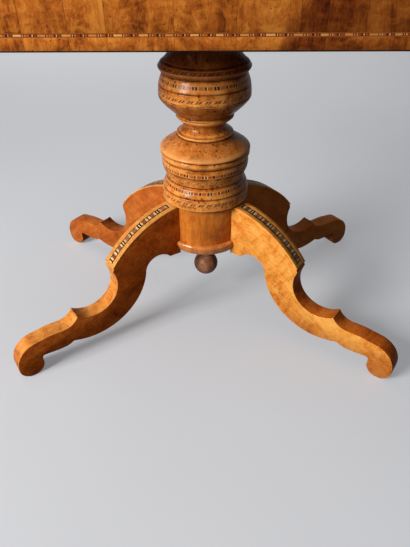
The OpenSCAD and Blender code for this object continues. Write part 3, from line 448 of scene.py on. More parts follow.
# %% Write the copying helpers
ALONG_X, ALONG_Y, ALONG_Z = (1, 0, 0), (0, 1, 0), (0, 0, 1)
MERGE, FLAT_WITHIN, EDGE_FROM = 0.01 * MM, math.radians(0.4), math.radians(32)
SHIFT_WAY = np.array([1.0, 0.37, 0.61])


def store(mesh, name, kind, values):
    """Keeps one number or vector for each point of a mesh, for its material to read."""
    attribute = mesh.attributes.new(name, kind, "POINT")
    values = np.asarray(values, dtype=np.float32)
    attribute.data.foreach_set("vector" if kind == "FLOAT_VECTOR" else "value", values.ravel())


def points_of(mesh):
    flat = np.empty(len(mesh.vertices) * 3, dtype=np.float64)
    mesh.vertices.foreach_get("co", flat)
    return flat.reshape(-1, 3)


def lay_grain(mesh, along, across, shift=0.0):
    """Writes the grain along, across and through the board; shift moves it elsewhere in the tree."""
    along = Vector(along).normalized()
    through = along.cross(Vector(across)).normalized()
    rows = np.array(Matrix((along, through.cross(along), through)))
    store(mesh, "grain", "FLOAT_VECTOR", points_of(mesh) @ rows.T + shift * SHIFT_WAY)


def settled(name, mesh, finish, node):
    """Puts a finished mesh in the scene, rides it on its body and lets it stand for its CAD node."""
    piece = put_in_scene(name, mesh)
    if finish is not None:
        mesh.materials.clear()
        mesh.materials.append(finish)
    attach(piece, body_of[node])
    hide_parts(node)
    return piece


def merged(node):
    """The mesh of a CAD node as one closed skin."""
    skin = bmesh.new()
    skin.from_mesh(frame["nodes"][node].data)
    bmesh.ops.remove_doubles(skin, verts=skin.verts, dist=MERGE)
    return skin


def mesh_from(skin, name):
    """Writes a skin into a new mesh and lets the skin go."""
    mesh = bpy.data.meshes.new(name)
    skin.to_mesh(mesh)
    skin.free()
    return mesh


def smooth(mesh, angle):
    """Shades a mesh smooth, and leaves its edges sharp above an angle in degrees."""
    mesh.shade_smooth()
    mesh.set_sharp_from_angle(angle=math.radians(angle))


def eased(node, finish, along, across, edge, steps=2, shift=0.0):
    """A softened stand-in for a CAD node, with its flat sides in single faces."""
    skin = merged(node)
    bmesh.ops.dissolve_limit(skin, angle_limit=FLAT_WITHIN, verts=skin.verts, edges=skin.edges)
    mesh = mesh_from(skin, node + "_skin")
    lay_grain(mesh, along, across, shift)
    mesh.shade_smooth()
    piece = settled("eased_" + node, mesh, finish, node)
    bevel = piece.modifiers.new("soft_edges", "BEVEL")
    bevel.width = edge
    bevel.segments = steps
    bevel.limit_method = "ANGLE"
    bevel.angle_limit = EDGE_FROM
    bevel.use_clamp_overlap = False
    bevel.harden_normals = True
    return piece


# %% [markdown]
# ## Legs and their capping
# Each leg is a plank sawn to an S, standing on edge. Its grain runs from the hub down to the foot. A thin
# capping is glued on the shoulder, with its grain across the leg, and the inlaid strip is let into it. The
# capping's grain follows the arc of the shoulder, so its attribute is worked out in the leg's own plane:
# first number across the leg, second along the arc. The two notches of the sawn edge, under the capping
# and on top of the foot, are darkened with painted shade and old polish.

# %% Measure the legs
LEG_TURNS = {"front_left": 214.5, "front_right": -34.5, "back_left": 145.5, "back_right": 34.5}
PLANKS = {"front_left": LEG_EDGE_WOOD, "front_right": LEG_WOOD, "back_left": BACK_LEFT_SHADED_WOOD,
          "back_right": BACK_RIGHT_WOOD}
LEG_SLOPE = math.radians(38)
BEAK = Vector((241.5, 191.4)) * MM
SHOULDER_FOOT = Vector((80.6, 286.5)) * MM
SHOULDER_R = 241 * MM
KNEE, NOTCH = Vector((333, 106.5)) * MM, Vector((418, 41.3)) * MM
# How far the painted shade and old polish of a notch reach, and how strong they are at most.
KNEE_SHADE_AND_POLISH = {"front_left": (34 * MM, 0.6), "front_right": (26 * MM, 0.35), "back_left": (62 * MM, 0.95),
              "back_right": (40 * MM, 0.5)}
NOTCH_SHADE_AND_POLISH = (24 * MM, 0.9)
SHADE_AND_POLISH_FADE = 0.7
FLAT_SIDE = 0.9


def arc_centre(a, b, radius):
    """Centre of the arc of a radius from a to b that bulges to the right of the way."""
    step = b - a
    reach = math.sqrt(radius ** 2 - step.length_squared / 4) / step.length
    return (a + b) / 2 + reach * Vector((-step.y, step.x))


def shade_and_polish_at(place, corner):
    """How dark the sawn edge is at a place in the leg's own plane: most in the notches, with painted shade
    and old polish.
    """
    spots = [(NOTCH, NOTCH_SHADE_AND_POLISH)] + ([(KNEE, KNEE_SHADE_AND_POLISH[corner])] if place.x < KNEE.x else [])
    return max(most * max(0.0, 1 - (place - spot).length / reach) ** SHADE_AND_POLISH_FADE
               for spot, (reach, most) in spots)


def darken_sawn_edges(mesh, corner, outward, sideways):
    """Writes the painted shade and old polish of the sawn edge into its faces; the flat sides get none."""
    values = np.zeros(len(mesh.loops), dtype=np.float32)
    for face in mesh.polygons:
        if abs(face.normal.dot(sideways)) < FLAT_SIDE:
            for loop in face.loop_indices:
                point = mesh.vertices[mesh.loops[loop].vertex_index].co
                values[loop] = shade_and_polish_at(Vector((point.dot(outward), point.z)), corner)
    mesh.attributes.new("hollow", "FLOAT", "CORNER").data.foreach_set("value", values)


SHOULDER_C = arc_centre(BEAK, SHOULDER_FOOT, SHOULDER_R)
print("shoulder centre", [round(v * 1000, 1) for v in SHOULDER_C])

# %% [markdown]
# In the photo the lamp reaches the sawn edge of the left leg and the flat side of the right one. Those are
# the paler faces, and each front leg takes the darker wood on the others as painted shade.

# %% Dress the legs and capping
for number, (corner, turn) in enumerate(LEG_TURNS.items()):
    outward = Vector((math.cos(math.radians(turn)), math.sin(math.radians(turn)), 0))
    sideways = Vector((-outward.y, outward.x, 0))
    down_the_leg = outward * math.cos(LEG_SLOPE) - Vector((0, 0, math.sin(LEG_SLOPE)))
    leg = eased("leg_" + corner, PLANKS[corner], down_the_leg, sideways, 1.3 * MM, 3, 0.83 * number).data
    # Painted shade and old polish in the notches of the sawn edge.
    darken_sawn_edges(leg, corner, outward, sideways)
    # Painted shade: the front legs' faces turned from the lamp take the darker wood.
    if corner.startswith("front"):
        leg.materials.append(LEG_SHADE_WOOD)
        for face in leg.polygons:
            flat_side = abs(face.normal.dot(sideways)) > FLAT_SIDE
            face.material_index = int(flat_side if corner == "front_left" else not flat_side)
    # Painted light: the right cappings take the paler wood.
    capping = RIGHT_CAP_LIT_WOOD if corner.endswith("right") else CAP_WOOD
    cap = eased("cap_" + corner, capping, sideways, outward, 0.8 * MM)
    points = points_of(cap.data)
    out, lateral = points @ np.array(outward), points @ np.array(sideways)
    angle = np.arctan2(points[:, 2] - SHOULDER_C.y, out - SHOULDER_C.x)
    wrapped = np.stack([lateral, angle * SHOULDER_R, points[:, 2] * 0 + number], axis=1)
    cap.data.attributes["grain"].data.foreach_set("vector", wrapped.astype(np.float32).ravel())
    print("leg and capping", corner)

# %% [markdown]
# ## The turned column
# The column was turned in sections on a lathe and threaded on a spindle. A lathe makes a shape by
# spinning an outline, so the same is done here: the outline of each section is read from its CAD
# node, its corners are eased, and it is spun round the axis. Two numbers are kept with each point.
# "hollow" says how deep the point lies between its neighbours, where it is darkened as dust and old polish
# and partly as painted shade, and "ridge" how far it stands out, where it is brightened as rubbing and a
# painted highlight.

# %% Read the outlines
TURNED = ["ring_d", "ring_c", "ring_b", "ring_a", "ovolo", "bulb", "neck", "barrel_lower", "barrel_upper",
          "collar", "cavetto"]
LEVEL_STEP, LEVEL_REACH = 0.02 * MM, 0.015 * MM
NEIGHBOURS = (-9, -6, -3, 3, 6, 9)
DEEPEST = 5 * MM


def outline(node):
    """The outer line of a turned node, from its foot up, as radius and height."""
    points = points_of(frame["nodes"][node].data)
    radius, height = np.hypot(points[:, 0], points[:, 1]), points[:, 2]
    line = []
    for level in np.unique(np.round(height / LEVEL_STEP)) * LEVEL_STEP:
        near = np.abs(height - level) < LEVEL_REACH
        line.append((float(radius[near].max()), float(level)))
    return line


def cut_corners(line, most):
    """One pass of corner cutting, which leaves long straight stretches alone."""
    fresh = [line[0]]
    for before, here, after in zip(line, line[1:], line[2:]):
        for other in (before, after):
            step = Vector(other) - Vector(here)
            fresh.append(tuple(Vector(here) + step.normalized() * min(most, step.length * 0.25)))
    fresh.append(line[-1])
    return fresh


column_line = sorted((point for node in TURNED for point in outline(node)), key=lambda point: point[1])
COLUMN_R, COLUMN_Z = (np.array(values) for values in zip(*column_line))


def hollow_at(radius, height):
    """How far a point lies inside the line of its neighbours, from -1 on a ridge to 1 in a hollow."""
    around = [np.interp(height + step * MM, COLUMN_Z, COLUMN_R) for step in NEIGHBOURS]
    return float(np.clip((np.mean(around) - radius) / DEEPEST, -1, 1))


print("column outline points", len(column_line))

# %% [markdown]
# A spun outline that starts and ends on the axis closes itself in a pole. One that leaves room for the
# spindle is closed by its own bore wall. The groove of an inlaid band and the fine lines scored by the
# point of a chisel are cut into the outline before it is spun.

# %% Write the spinning helpers
ROUND, SHARP_FROM = 144, 38
ON_AXIS = 0.001 * MM
BESIDE = 0.05 * MM
JOINT_DUST = 2.0 * MM


def radius_at(line, height):
    """The radius of an outline at a height."""
    return float(np.interp(height, [z for r, z in line], [r for r, z in line]))


def grooved(line, low, high, depth_r):
    """The outline with a square groove between two heights, down to a radius."""
    edges = [radius_at(line, z) for z in (low, high)]
    below = [point for point in line if point[1] < low - BESIDE]
    over = [point for point in line if point[1] > high + BESIDE]
    return below + [(edges[0], low), (depth_r, low), (depth_r, high), (edges[1], high)] + over, edges


def scored(line, height, depth, half):
    """The outline with a small V cut at a height."""
    cut = [(radius_at(line, z) - inward, z)
           for z, inward in ((height - half, 0.0), (height, depth), (height + half, 0.0))]
    return ([point for point in line if point[1] < height - half * 1.05] + cut
            + [point for point in line if point[1] > height + half * 1.05])


def spun(name, line, bore):
    """A closed mesh spun from an outline."""
    skin = bmesh.new()
    rows = []
    for radius, height in [(bore, line[0][1])] + line + [(bore, line[-1][1])] if bore else line:
        if radius < ON_AXIS:
            rows.append([skin.verts.new((0, 0, height))] * ROUND)
            continue
        rows.append([skin.verts.new((radius * math.cos(2 * math.pi * i / ROUND),
                                     radius * math.sin(2 * math.pi * i / ROUND), height))
                     for i in range(ROUND)])
    pairs = list(zip(rows, rows[1:])) + ([(rows[-1], rows[0])] if bore else [])
    for lower, upper in pairs:
        for i in range(ROUND):
            j = (i + 1) % ROUND
            corners = dict.fromkeys((lower[i], lower[j], upper[j], upper[i]))
            if len(corners) > 2:
                skin.faces.new(corners)
    bmesh.ops.recalc_face_normals(skin, faces=skin.faces)
    mesh = mesh_from(skin, name)
    smooth(mesh, SHARP_FROM)
    return mesh


def edge_dust(height, low, high):
    """Dust in the joint at the foot and head of a section."""
    gap = min(height - low, high - height)
    return math.exp(-(max(gap, 0) / JOINT_DUST) ** 1.5)


print("faces round the column", ROUND)

# %% [markdown]
# SCORES gives the heights of the scored lines in millimetres above the foot of a section, or, when
# negative, below its head. Some sections get painted shade up to their first line or band: the lower part
# of the lower barrel, which faces down, ring A below its band, and the whole cavetto under the frieze.

# %% Spin the sections
BORE = 20.1 * MM
CORNER = 1.1 * MM
SCORES = {"neck": (6.5, -5.0), "barrel_lower": (-20.4,)}
SCORE_DEPTH, SCORE_HALF, SCORE_DUST, SCORE_REACH = 1.0 * MM, 0.9 * MM, 0.9, 1.4 * MM
SHADED_BELOW = {"barrel_lower": 0.62, "ring_a": 0.45, "cavetto": 0.45}
RIDGE_GAIN = 1.6
NECK_SHIFT = 1.9
OWN_WOOD = {"bulb": BULB_WOOD}

band_edges = {}
for node in TURNED:
    line = outline(node)
    low, high = line[0][1], line[-1][1]
    inner = [point for point in line if point[0] > BORE + MM]
    for _ in range(2):
        inner = cut_corners(inner, CORNER)
    cuts = [low + up * MM if up > 0 else high + up * MM for up in SCORES.get(node, ())]
    for height in cuts:
        inner = scored(inner, height, SCORE_DEPTH, SCORE_HALF)
    if "inlay_" + node in frame["nodes"]:
        band = points_of(frame["nodes"]["inlay_" + node].data)
        band_low, band_high = band[:, 2].min(), band[:, 2].max()
        depth_r = float(np.hypot(band[:, 0], band[:, 1]).min()) - 0.1 * MM
        inner, edges = grooved(inner, band_low, band_high, depth_r)
        band_edges[node] = (float(band_low), float(band_high), depth_r, edges[0], edges[1])
    mesh = spun(node + "_turned", inner, BORE)
    shade_top = cuts[0] if cuts else band_edges[node][0] if node in band_edges else high
    dust_and_shade, ridge = [], []
    # Darkening at each point: dust in the joints and scored lines, dust and painted shade in the hollows.
    for x, y, z in points_of(mesh):
        inside = hollow_at(math.hypot(x, y), z)
        most = max([inside, edge_dust(z, low, high)]
                   + [SCORE_DUST * math.exp(-(abs(z - height) / SCORE_REACH) ** 2) for height in cuts])
        # Painted shade on the lower part of some sections, and on all of the cavetto.
        if node in SHADED_BELOW:
            most = max(most, SHADED_BELOW[node] if z < shade_top else 0.0)
        dust_and_shade.append(most)
        # Paler ridges: rubbing and a painted highlight.
        ridge.append(max(0.0, -RIDGE_GAIN * inside - most))
    store(mesh, "hollow", "FLOAT", dust_and_shade)
    store(mesh, "ridge", "FLOAT", ridge)
    lay_grain(mesh, ALONG_Z, ALONG_X, NECK_SHIFT if node == "neck" else 0.0)
    finish = DARK_TURNED if slot_of[node] == "turned_dark" else OWN_WOOD.get(node, TURNED_WOOD)
    settled("turned_" + node, mesh, finish, node)
print("bands", {node: [round(v * 1000, 2) for v in edge] for node, edge in band_edges.items()})

# %% [markdown]
# The finial is a small ball that never got much polish, so the lines of the gouge still show. The hub
# keeps its CAD shape because the legs are let into it, and so does the flange between them.

# %% Spin the finial, and soften the hub and its flange
FINIAL_CORNER, FINIAL_SHIFT = 0.8 * MM, 3.1
GOUGE_LINES, GOUGE_DUST = 1500, 0.45
STEM_FROM, STEM_DUST = 0.15, 0.3
HUB_TOP_DUST = 0.4

finial_line = outline("finial")
finial_line = [(0.0, finial_line[0][1])] + finial_line[1:] + [(0.0, finial_line[-1][1])]
finial_mesh = spun("finial_turned", cut_corners(finial_line, FINIAL_CORNER), 0)
store(finial_mesh, "hollow", "FLOAT",
      [GOUGE_DUST * max(0, math.cos(z * GOUGE_LINES)) ** 4 + (STEM_DUST if z > STEM_FROM else 0.0)
       for x, y, z in points_of(finial_mesh)])
lay_grain(finial_mesh, ALONG_Z, ALONG_X, FINIAL_SHIFT)
settled("turned_finial", finial_mesh, FINIAL_WOOD, "finial")

for node, edge, finish, top_dust in (("hub", 0.6 * MM, HUB_WOOD, HUB_TOP_DUST),
                                     ("flange", 0.5 * MM, BEAD_WOOD, 0.0)):
    mesh = eased(node, finish, ALONG_Z, ALONG_X, edge).data
    heights = points_of(mesh)[:, 2]
    store(mesh, "hollow", "FLOAT", np.where(heights > heights.max() - MM, top_dust, 0.0))
print("finial points", len(finial_mesh.vertices))

# %% [markdown]
# ## Inlay
# The bands are made of hundreds of small blocks of three woods: ebony stained black, pale boxwood and
# brown walnut. The plain ground between them is a fourth. Each run of inlay has its own tones, because
# polish and age have changed them.

# %% Give the blocks their woods
WOODS = ("ebony", "boxwood", "walnut", "ground")
# For each run, the darkest and lightest tone of the four woods, in the order above.
TONES = {"squares": (((18, 9, 6), (52, 26, 14)), ((214, 146, 74), (246, 206, 136)),
                     ((154, 76, 28), (200, 108, 44)), ((196, 110, 42), (232, 152, 70))),
         "rope": (((28, 13, 7), (76, 35, 15)), ((228, 154, 74), (250, 202, 126)),
                  ((146, 72, 26), (196, 106, 42)), ((190, 104, 38), (226, 144, 64))),
         "dark": (((24, 11, 6), (50, 24, 12)), ((124, 66, 28), (172, 104, 50)),
                  ((72, 34, 14), (112, 54, 22)), ((100, 50, 20), (146, 80, 34))),
         "strip": (((14, 8, 6), (38, 20, 13)), ((212, 158, 100), (242, 202, 146)),
                   ((128, 66, 38), (172, 104, 66)), ((196, 110, 42), (232, 152, 70))),
         "line": (((46, 20, 10), (92, 44, 20)), ((198, 126, 60), (232, 172, 100)),
                  ((128, 60, 20), (178, 94, 36)), ((140, 68, 22), (190, 102, 38)))}


def inlay_wood(name, low, high):
    """Wood for blocks too small to show a figure: each block has its own tone and a little grain."""
    material, mix = new_finish(name)
    grain = mix.noise(mix.place(), (700, 700, 240))
    tone = mix.times(mix.less(grain, 0.5), 0.5, mix.read("tone"))
    mix.finish({"Base Color": mix.ramp(tone, [(0.1, low), (0.9, high)]), "Roughness": 0.32,
                "Normal": mix.bump(grain, 0.2, 0.3 * MM), "Coat Weight": 0.12,
                "Coat Roughness": COAT_ROUGH, "Specular IOR Level": 0.2})
    return material


SETS = {run: {kind: inlay_wood("inlay_" + run + "_" + kind, *pair) for kind, pair in zip(WOODS, pairs)}
        for run, pairs in TONES.items()}
print("inlay woods", sum(len(woods) for woods in SETS.values()))

# %% [markdown]
# Laying the blocks one by one is a job for Geometry Nodes. The tree makes a line of points, one for
# each block, looks up each block's length and wood in a repeating pattern, adds up the lengths to
# find each place, and sets a small box there. The straight run is then wrapped round a ring, along
# the arc of a shoulder, or left straight on the frieze. The tree's inputs are the sizes of one band.
# Everything random in it comes from its Seed.

# %% Write the inlay tree
INLAY_INPUTS = ([("Blocks", "Int"), ("Seed", "Int")]
                + [(label, "Float") for label in ("Run", "Width", "Depth", "Proud", "Gap", "Slant",
                                                  "Low radius", "High radius", "Level", "Start", "Turn",
                                                  "Stringing", "Margin")]
                + [(label, "Material") for label in WOODS])
BORDER_STEPS = 144
UNEVEN = (0.86, 1.14)


def new_tree(name, inputs):
    """A Geometry Nodes tree with named inputs and one output; gives the tree, its recipe and inputs."""
    tree = bpy.data.node_groups.new(name, "GeometryNodeTree")
    for label, kind in inputs:
        tree.interface.new_socket(label, in_out="INPUT", socket_type="NodeSocket" + kind)
    tree.interface.new_socket("Geometry", in_out="OUTPUT", socket_type="NodeSocketGeometry")
    return tree, Recipe(tree), {s.name: s for s in tree.nodes.new("NodeGroupInput").outputs}


def field(mix, values):
    """Looks up one of a row of numbers by the block's place in the pattern."""
    index = mix.math("MODULO", mix.add("GeometryNodeInputIndex"), float(len(values)))
    node = mix.tree.nodes.new("GeometryNodeIndexSwitch")
    node.data_type = "FLOAT"
    while len(node.index_switch_items) < len(values):
        node.index_switch_items.new()
    mix.tree.links.new(index, node.inputs["Index"])
    for place, value in enumerate(values):
        node.inputs[place + 1].default_value = value
    return node.outputs[0]


def random_number(mix, low, high, seed):
    return mix.add("FunctionNodeRandomValue", {2: low, 3: high, "Seed": seed}, 1, data_type="FLOAT")


def marked(mix, shape, name, value):
    return mix.add("GeometryNodeStoreNamedAttribute", {"Geometry": shape, "Name": name, "Value": value})


def brick(mix, size, steps=2):
    return mix.add("GeometryNodeMeshCube", {"Size": size, "Vertices X": steps, "Vertices Y": 2,
                                            "Vertices Z": 2})


def wrapped_place(mix, given, wrap):
    """Where a point of the straight run goes: round a ring, along an arc or on a straight board."""
    along, proud, up = mix.parts(mix.add("GeometryNodeInputPosition"))
    near, far, level = given["Low radius"], given["High radius"], given["Level"]
    slid = mix.times(up, given["Slant"], along)
    if wrap == "line":
        right = mix.less(slid, mix.times(given["Run"], 0.5))
        return mix.xyz(right, mix.times(mix.plus(near, proud), -1.0), mix.plus(up, level))
    way_round = mix.plus if wrap == "ring" else mix.less
    angle = way_round(given["Start"], mix.math("DIVIDE", slid, near))
    cosine, sine = mix.math("COSINE", angle), mix.math("SINE", angle)
    if wrap == "arc":
        radius = mix.plus(proud, near)
        return mix.xyz(mix.times(radius, cosine, far), up, mix.times(radius, sine, level))
    share = mix.plus(mix.math("DIVIDE", up, given["Width"]), 0.5)
    radius = mix.plus(proud, mix.add("ShaderNodeMix", {0: share, 2: near, 3: far}))
    return mix.xyz(mix.times(radius, cosine), mix.times(radius, sine), mix.plus(up, level))


def inlay_tree(name, pattern, wrap, borders):
    """Blocks in a pattern of (wood, length in mm) between borders, wrapped as ring, arc or line."""
    tree, mix, given = new_tree(name, INLAY_INPUTS)
    length = mix.times(field(mix, [size * MM for kind, size in pattern]),
                       random_number(mix, *UNEVEN, given["Seed"]))
    sums = tree.nodes.new("GeometryNodeAccumulateField")
    tree.links.new(length, sums.inputs["Value"])
    share = mix.math("DIVIDE", given["Run"], sums.outputs["Total"])
    centre = mix.times(mix.times(length, 0.5, sums.outputs["Trailing"]), share)
    sink = mix.times(mix.less(given["Proud"], given["Depth"]), 0.5)
    line = mix.add("GeometryNodeMeshLine", {"Count": given["Blocks"], "Offset": (0, 0, 0)})
    line = marked(mix, line, "wood_kind", field(mix, [WOODS.index(kind) for kind, size in pattern]))
    line = marked(mix, line, "tone", random_number(mix, 0.1, 0.9, mix.plus(given["Seed"], 7.0)))
    line = mix.add("GeometryNodeSetPosition", {"Geometry": line, "Position": mix.xyz(centre, sink)})
    thick = mix.plus(given["Depth"], given["Proud"])
    tall = mix.less(given["Width"], mix.times(mix.plus(given["Stringing"], given["Margin"]), 2.0))
    long = mix.less(mix.times(length, share), given["Gap"])
    blocks = mix.add("GeometryNodeInstanceOnPoints", {
        "Points": line, "Instance": brick(mix, (1, 1, 1), 3), "Scale": mix.xyz(long, thick, tall)})
    joined = tree.nodes.new("GeometryNodeJoinGeometry")
    tree.links.new(mix.add("GeometryNodeRealizeInstances", {"Geometry": blocks}), joined.inputs[0])
    for border, kind in borders:
        inside = mix.times(tall, 0.5, mix.times(given[border], 0.5))
        if border == "Margin":
            inside = mix.plus(inside, given["Stringing"])
        steps = 2 if wrap == "line" else BORDER_STEPS
        strip = brick(mix, mix.xyz(given["Run"], thick, given[border]), steps)
        strip = marked(mix, strip, "wood_kind", float(WOODS.index(kind)))
        strip = marked(mix, strip, "tone", 0.5)
        for side in (-1.0, 1.0):
            there = mix.xyz(mix.times(given["Run"], 0.5), sink, mix.times(inside, side))
            moved = mix.add("GeometryNodeTransform", {"Geometry": strip, "Translation": there})
            tree.links.new(moved, joined.inputs[0])
    laid = mix.add("GeometryNodeSetPosition", {"Geometry": joined.outputs[0],
                                               "Position": wrapped_place(mix, given, wrap)})
    laid = mix.add("GeometryNodeTransform", {"Geometry": laid, "Rotation": mix.xyz(z=given["Turn"])})
    kind = mix.add("GeometryNodeInputNamedAttribute", {"Name": "wood_kind"}, data_type="FLOAT")
    for code, label in enumerate(WOODS):
        chosen = mix.add("FunctionNodeCompare", {0: kind, 1: float(code), "Epsilon": 0.3},
                         operation="EQUAL", data_type="FLOAT")
        laid = mix.add("GeometryNodeSetMaterial", {"Geometry": laid, "Selection": chosen,
                                                   "Material": given[label]})
    mix.add("NodeGroupOutput", {0: laid})
    return tree


print("inputs of the inlay tree", len(INLAY_INPUTS))

# %% [markdown]
# A tree is run once for each band, and what it makes is kept as a plain mesh.

# %% Write the laying helpers
def run_tree(tree, base, values):
    """Runs a tree on a base mesh with its inputs set, and keeps the result as a plain mesh."""
    holder = put_in_scene(tree.name, base)
    modifier = holder.modifiers.new("made", "NODES")
    modifier.node_group = tree
    for item in tree.interface.items_tree:
        if item.in_out == "INPUT" and item.socket_type != "NodeSocketGeometry":
            unset = 0.0 if item.socket_type == "NodeSocketFloat" else 0
            modifier[item.identifier] = values.get(item.name, unset)
    graph = bpy.context.evaluated_depsgraph_get()
    mesh = bpy.data.meshes.new_from_object(holder.evaluated_get(graph), preserve_all_data_layers=True,
                                           depsgraph=graph)
    bpy.data.objects.remove(holder)
    return mesh


def laid(tree, name, woods, **sizes):
    """Lays one run of inlay; its materials come out in the order of the set."""
    values = {key.replace("_", " ").capitalize(): value for key, value in sizes.items()} | woods
    mesh = run_tree(tree, bpy.data.meshes.new(name), values)
    names = [material.name for material in woods.values()]
    places = [names.index(material.name) if material else 0 for material in mesh.materials]
    chosen = [places[face.material_index] for face in mesh.polygons]
    mesh.materials.clear()
    for material in woods.values():
        mesh.materials.append(material)
    mesh.polygons.foreach_set("material_index", chosen)
    return mesh


def joined_mesh(name, meshes):
    """Joins meshes that share the same list of materials."""
    skin = bmesh.new()
    for mesh in meshes:
        skin.from_mesh(mesh)
    whole = mesh_from(skin, name)
    for material in meshes[0].materials:
        whole.materials.append(material)
    return whole


def repeats_in(run, pattern):
    """How often a pattern fits into a run, at least once."""
    return max(1, round(run / (sum(size for kind, size in pattern) * MM)))


print("blocks of one wood in each run share one of", len(WOODS), "materials")

# %% [markdown]
# ## The bands of the column
# Three bands carry dark squares in pairs and singles with brown blocks between, and four narrower
# ones carry slanted strokes, like a rope. Each run is repeated so that it closes evenly round its ring.

# %% Lay the bands round the column
PATTERNS = {"squares": [("ebony", 3.6), ("boxwood", 2.0), ("ebony", 3.6), ("boxwood", 1.8),
                        ("walnut", 8.4), ("ground", 2.2), ("ebony", 3.6), ("boxwood", 1.8),
                        ("walnut", 8.4), ("ground", 2.2)],
            "rope": [("ebony", 2.9), ("boxwood", 1.9), ("ebony", 2.9), ("ground", 3.6), ("boxwood", 2.0),
                     ("ground", 3.0)],
            "twist": [("boxwood", 3.6), ("walnut", 2.6), ("boxwood", 3.0), ("ground", 3.0),
                      ("boxwood", 2.6), ("ebony", 1.2), ("walnut", 2.4)]}
# For each ring: its pattern, its set of woods, where the run starts, and how far its blocks slant.
BANDS = {"ring_a": ("squares", "squares", 1.3, 0.0), "ring_c": ("squares", "squares", 1.62, 0.0),
         "barrel_upper": ("squares", "squares", 0.9, 0.0), "ring_b": ("twist", "rope", 0.3, 1.1),
         "ring_d": ("rope", "rope", 0.8, 1.1), "barrel_lower": ("rope", "rope", 0.5, 1.1),
         "collar": ("rope", "dark", 0.2, 1.1)}
BAND_PROUD, BAND_GAP, BAND_MARGIN = 0.12 * MM, 0.12 * MM, 0.19
RING_TREES = {kind: inlay_tree(kind + "_band", pattern, "ring", [("Margin", "ground")])
              for kind, pattern in PATTERNS.items()}
for number, (node, (kind, woods, start, slant)) in enumerate(BANDS.items()):
    low, high, depth_r, low_r, high_r = band_edges[node]
    run = 2 * math.pi * low_r
    repeats = repeats_in(run, PATTERNS[kind])
    mesh = laid(RING_TREES[kind], "band_" + node, SETS[woods], blocks=repeats * len(PATTERNS[kind]),
                seed=11 + number, run=run, width=high - low, depth=low_r - depth_r, proud=BAND_PROUD,
                gap=BAND_GAP, slant=slant, margin=BAND_MARGIN * (high - low), low_radius=low_r,
                high_radius=high_r, level=(low + high) / 2, start=start)
    settled("band_" + node, mesh, None, "inlay_" + node)
    print("band", node, "repeats", repeats, "faces", len(mesh.polygons))

# %% [markdown]
# ## The strips along the legs
# The strip on each shoulder has a thin black string on both sides. Between them brown and pale blocks
# are parted in turn by one black bar and by a pair.

# %% Lay the strips
STRIP = [("ebony", 2.3), ("boxwood", 3.4), ("walnut", 7.4), ("boxwood", 3.4), ("ebony", 2.3),
         ("boxwood", 1.9), ("ebony", 2.3), ("boxwood", 3.4), ("walnut", 7.4), ("boxwood", 3.4)]
STRIP_BLOCKS, STRIP_WIDE, STRIP_THICK, STRIP_STRING = 36, 15 * MM, 1.5 * MM, 2.1 * MM
STRIP_TOP_OUT, STRIP_TOP_UP = 95.3 * MM, 286.5 * MM
STRIP_SHORT = math.radians(1.6)
strip_start = math.atan2(STRIP_TOP_UP - SHOULDER_C.y, STRIP_TOP_OUT - SHOULDER_C.x)
strip_end = math.atan2(BEAK.y - SHOULDER_C.y, BEAK.x - SHOULDER_C.x) + STRIP_SHORT
strip_tree = inlay_tree("leg_strip", STRIP, "arc", [("Stringing", "ebony")])
strips = [laid(strip_tree, "strip_" + corner, SETS["strip"], blocks=STRIP_BLOCKS, seed=20 + number,
               run=(strip_start - strip_end) * SHOULDER_R, width=STRIP_WIDE, depth=STRIP_THICK,
               gap=0.1 * MM, low_radius=SHOULDER_R, high_radius=SHOULDER_C.x, level=SHOULDER_C.y,
               start=strip_start, turn=math.radians(turn), stringing=STRIP_STRING)
          for number, (corner, turn) in enumerate(LEG_TURNS.items())]
settled("strips_on_legs", joined_mesh("strips_on_legs", strips), None, "leg_strips")
print("strip faces", [len(mesh.polygons) for mesh in strips])

# %% [markdown]
# ## The frieze
# The four frieze boards are faced with figured veneer, laid in leaves side by side, so the figure changes
# at each seam. Right of the middle a dark, soft-edged cloud crosses the figure, and left of it a darker
# feather runs up the board. A thin black string closes the lower edge; it is dark partly as a painted
# shadow under that edge.

# %% Veneer the frieze
# Each leaf: where it starts, in metres across the board, and how its tone differs.
LEAVES = ((-0.330, -0.02), (-0.257, 0.06), (-0.191, 0.13), (-0.136, 0.0), (-0.040, 0.02), (0.048, 0.04),
          (0.137, -0.04), (0.174, 0.02), (0.228, -0.03), (0.289, 0.08))
LEAF_JUMP_ALONG, LEAF_JUMP_THROUGH = 0.43, 0.29
SEAM = (0.5 * MM, 0.1 * MM, 0.0, 0.8)
BLUR = 0.07
CLOUD_SLANT, CLOUD_EDGE, CLOUD_FADE = -0.35, (-0.082, -0.056), (-0.03, 0.05, 0.9, 0.55)
FEATHER_SLANT, FEATHER_PLACE, FEATHER = 0.69, 0.406, (4 * MM, 24 * MM, 0.17, 0.0)


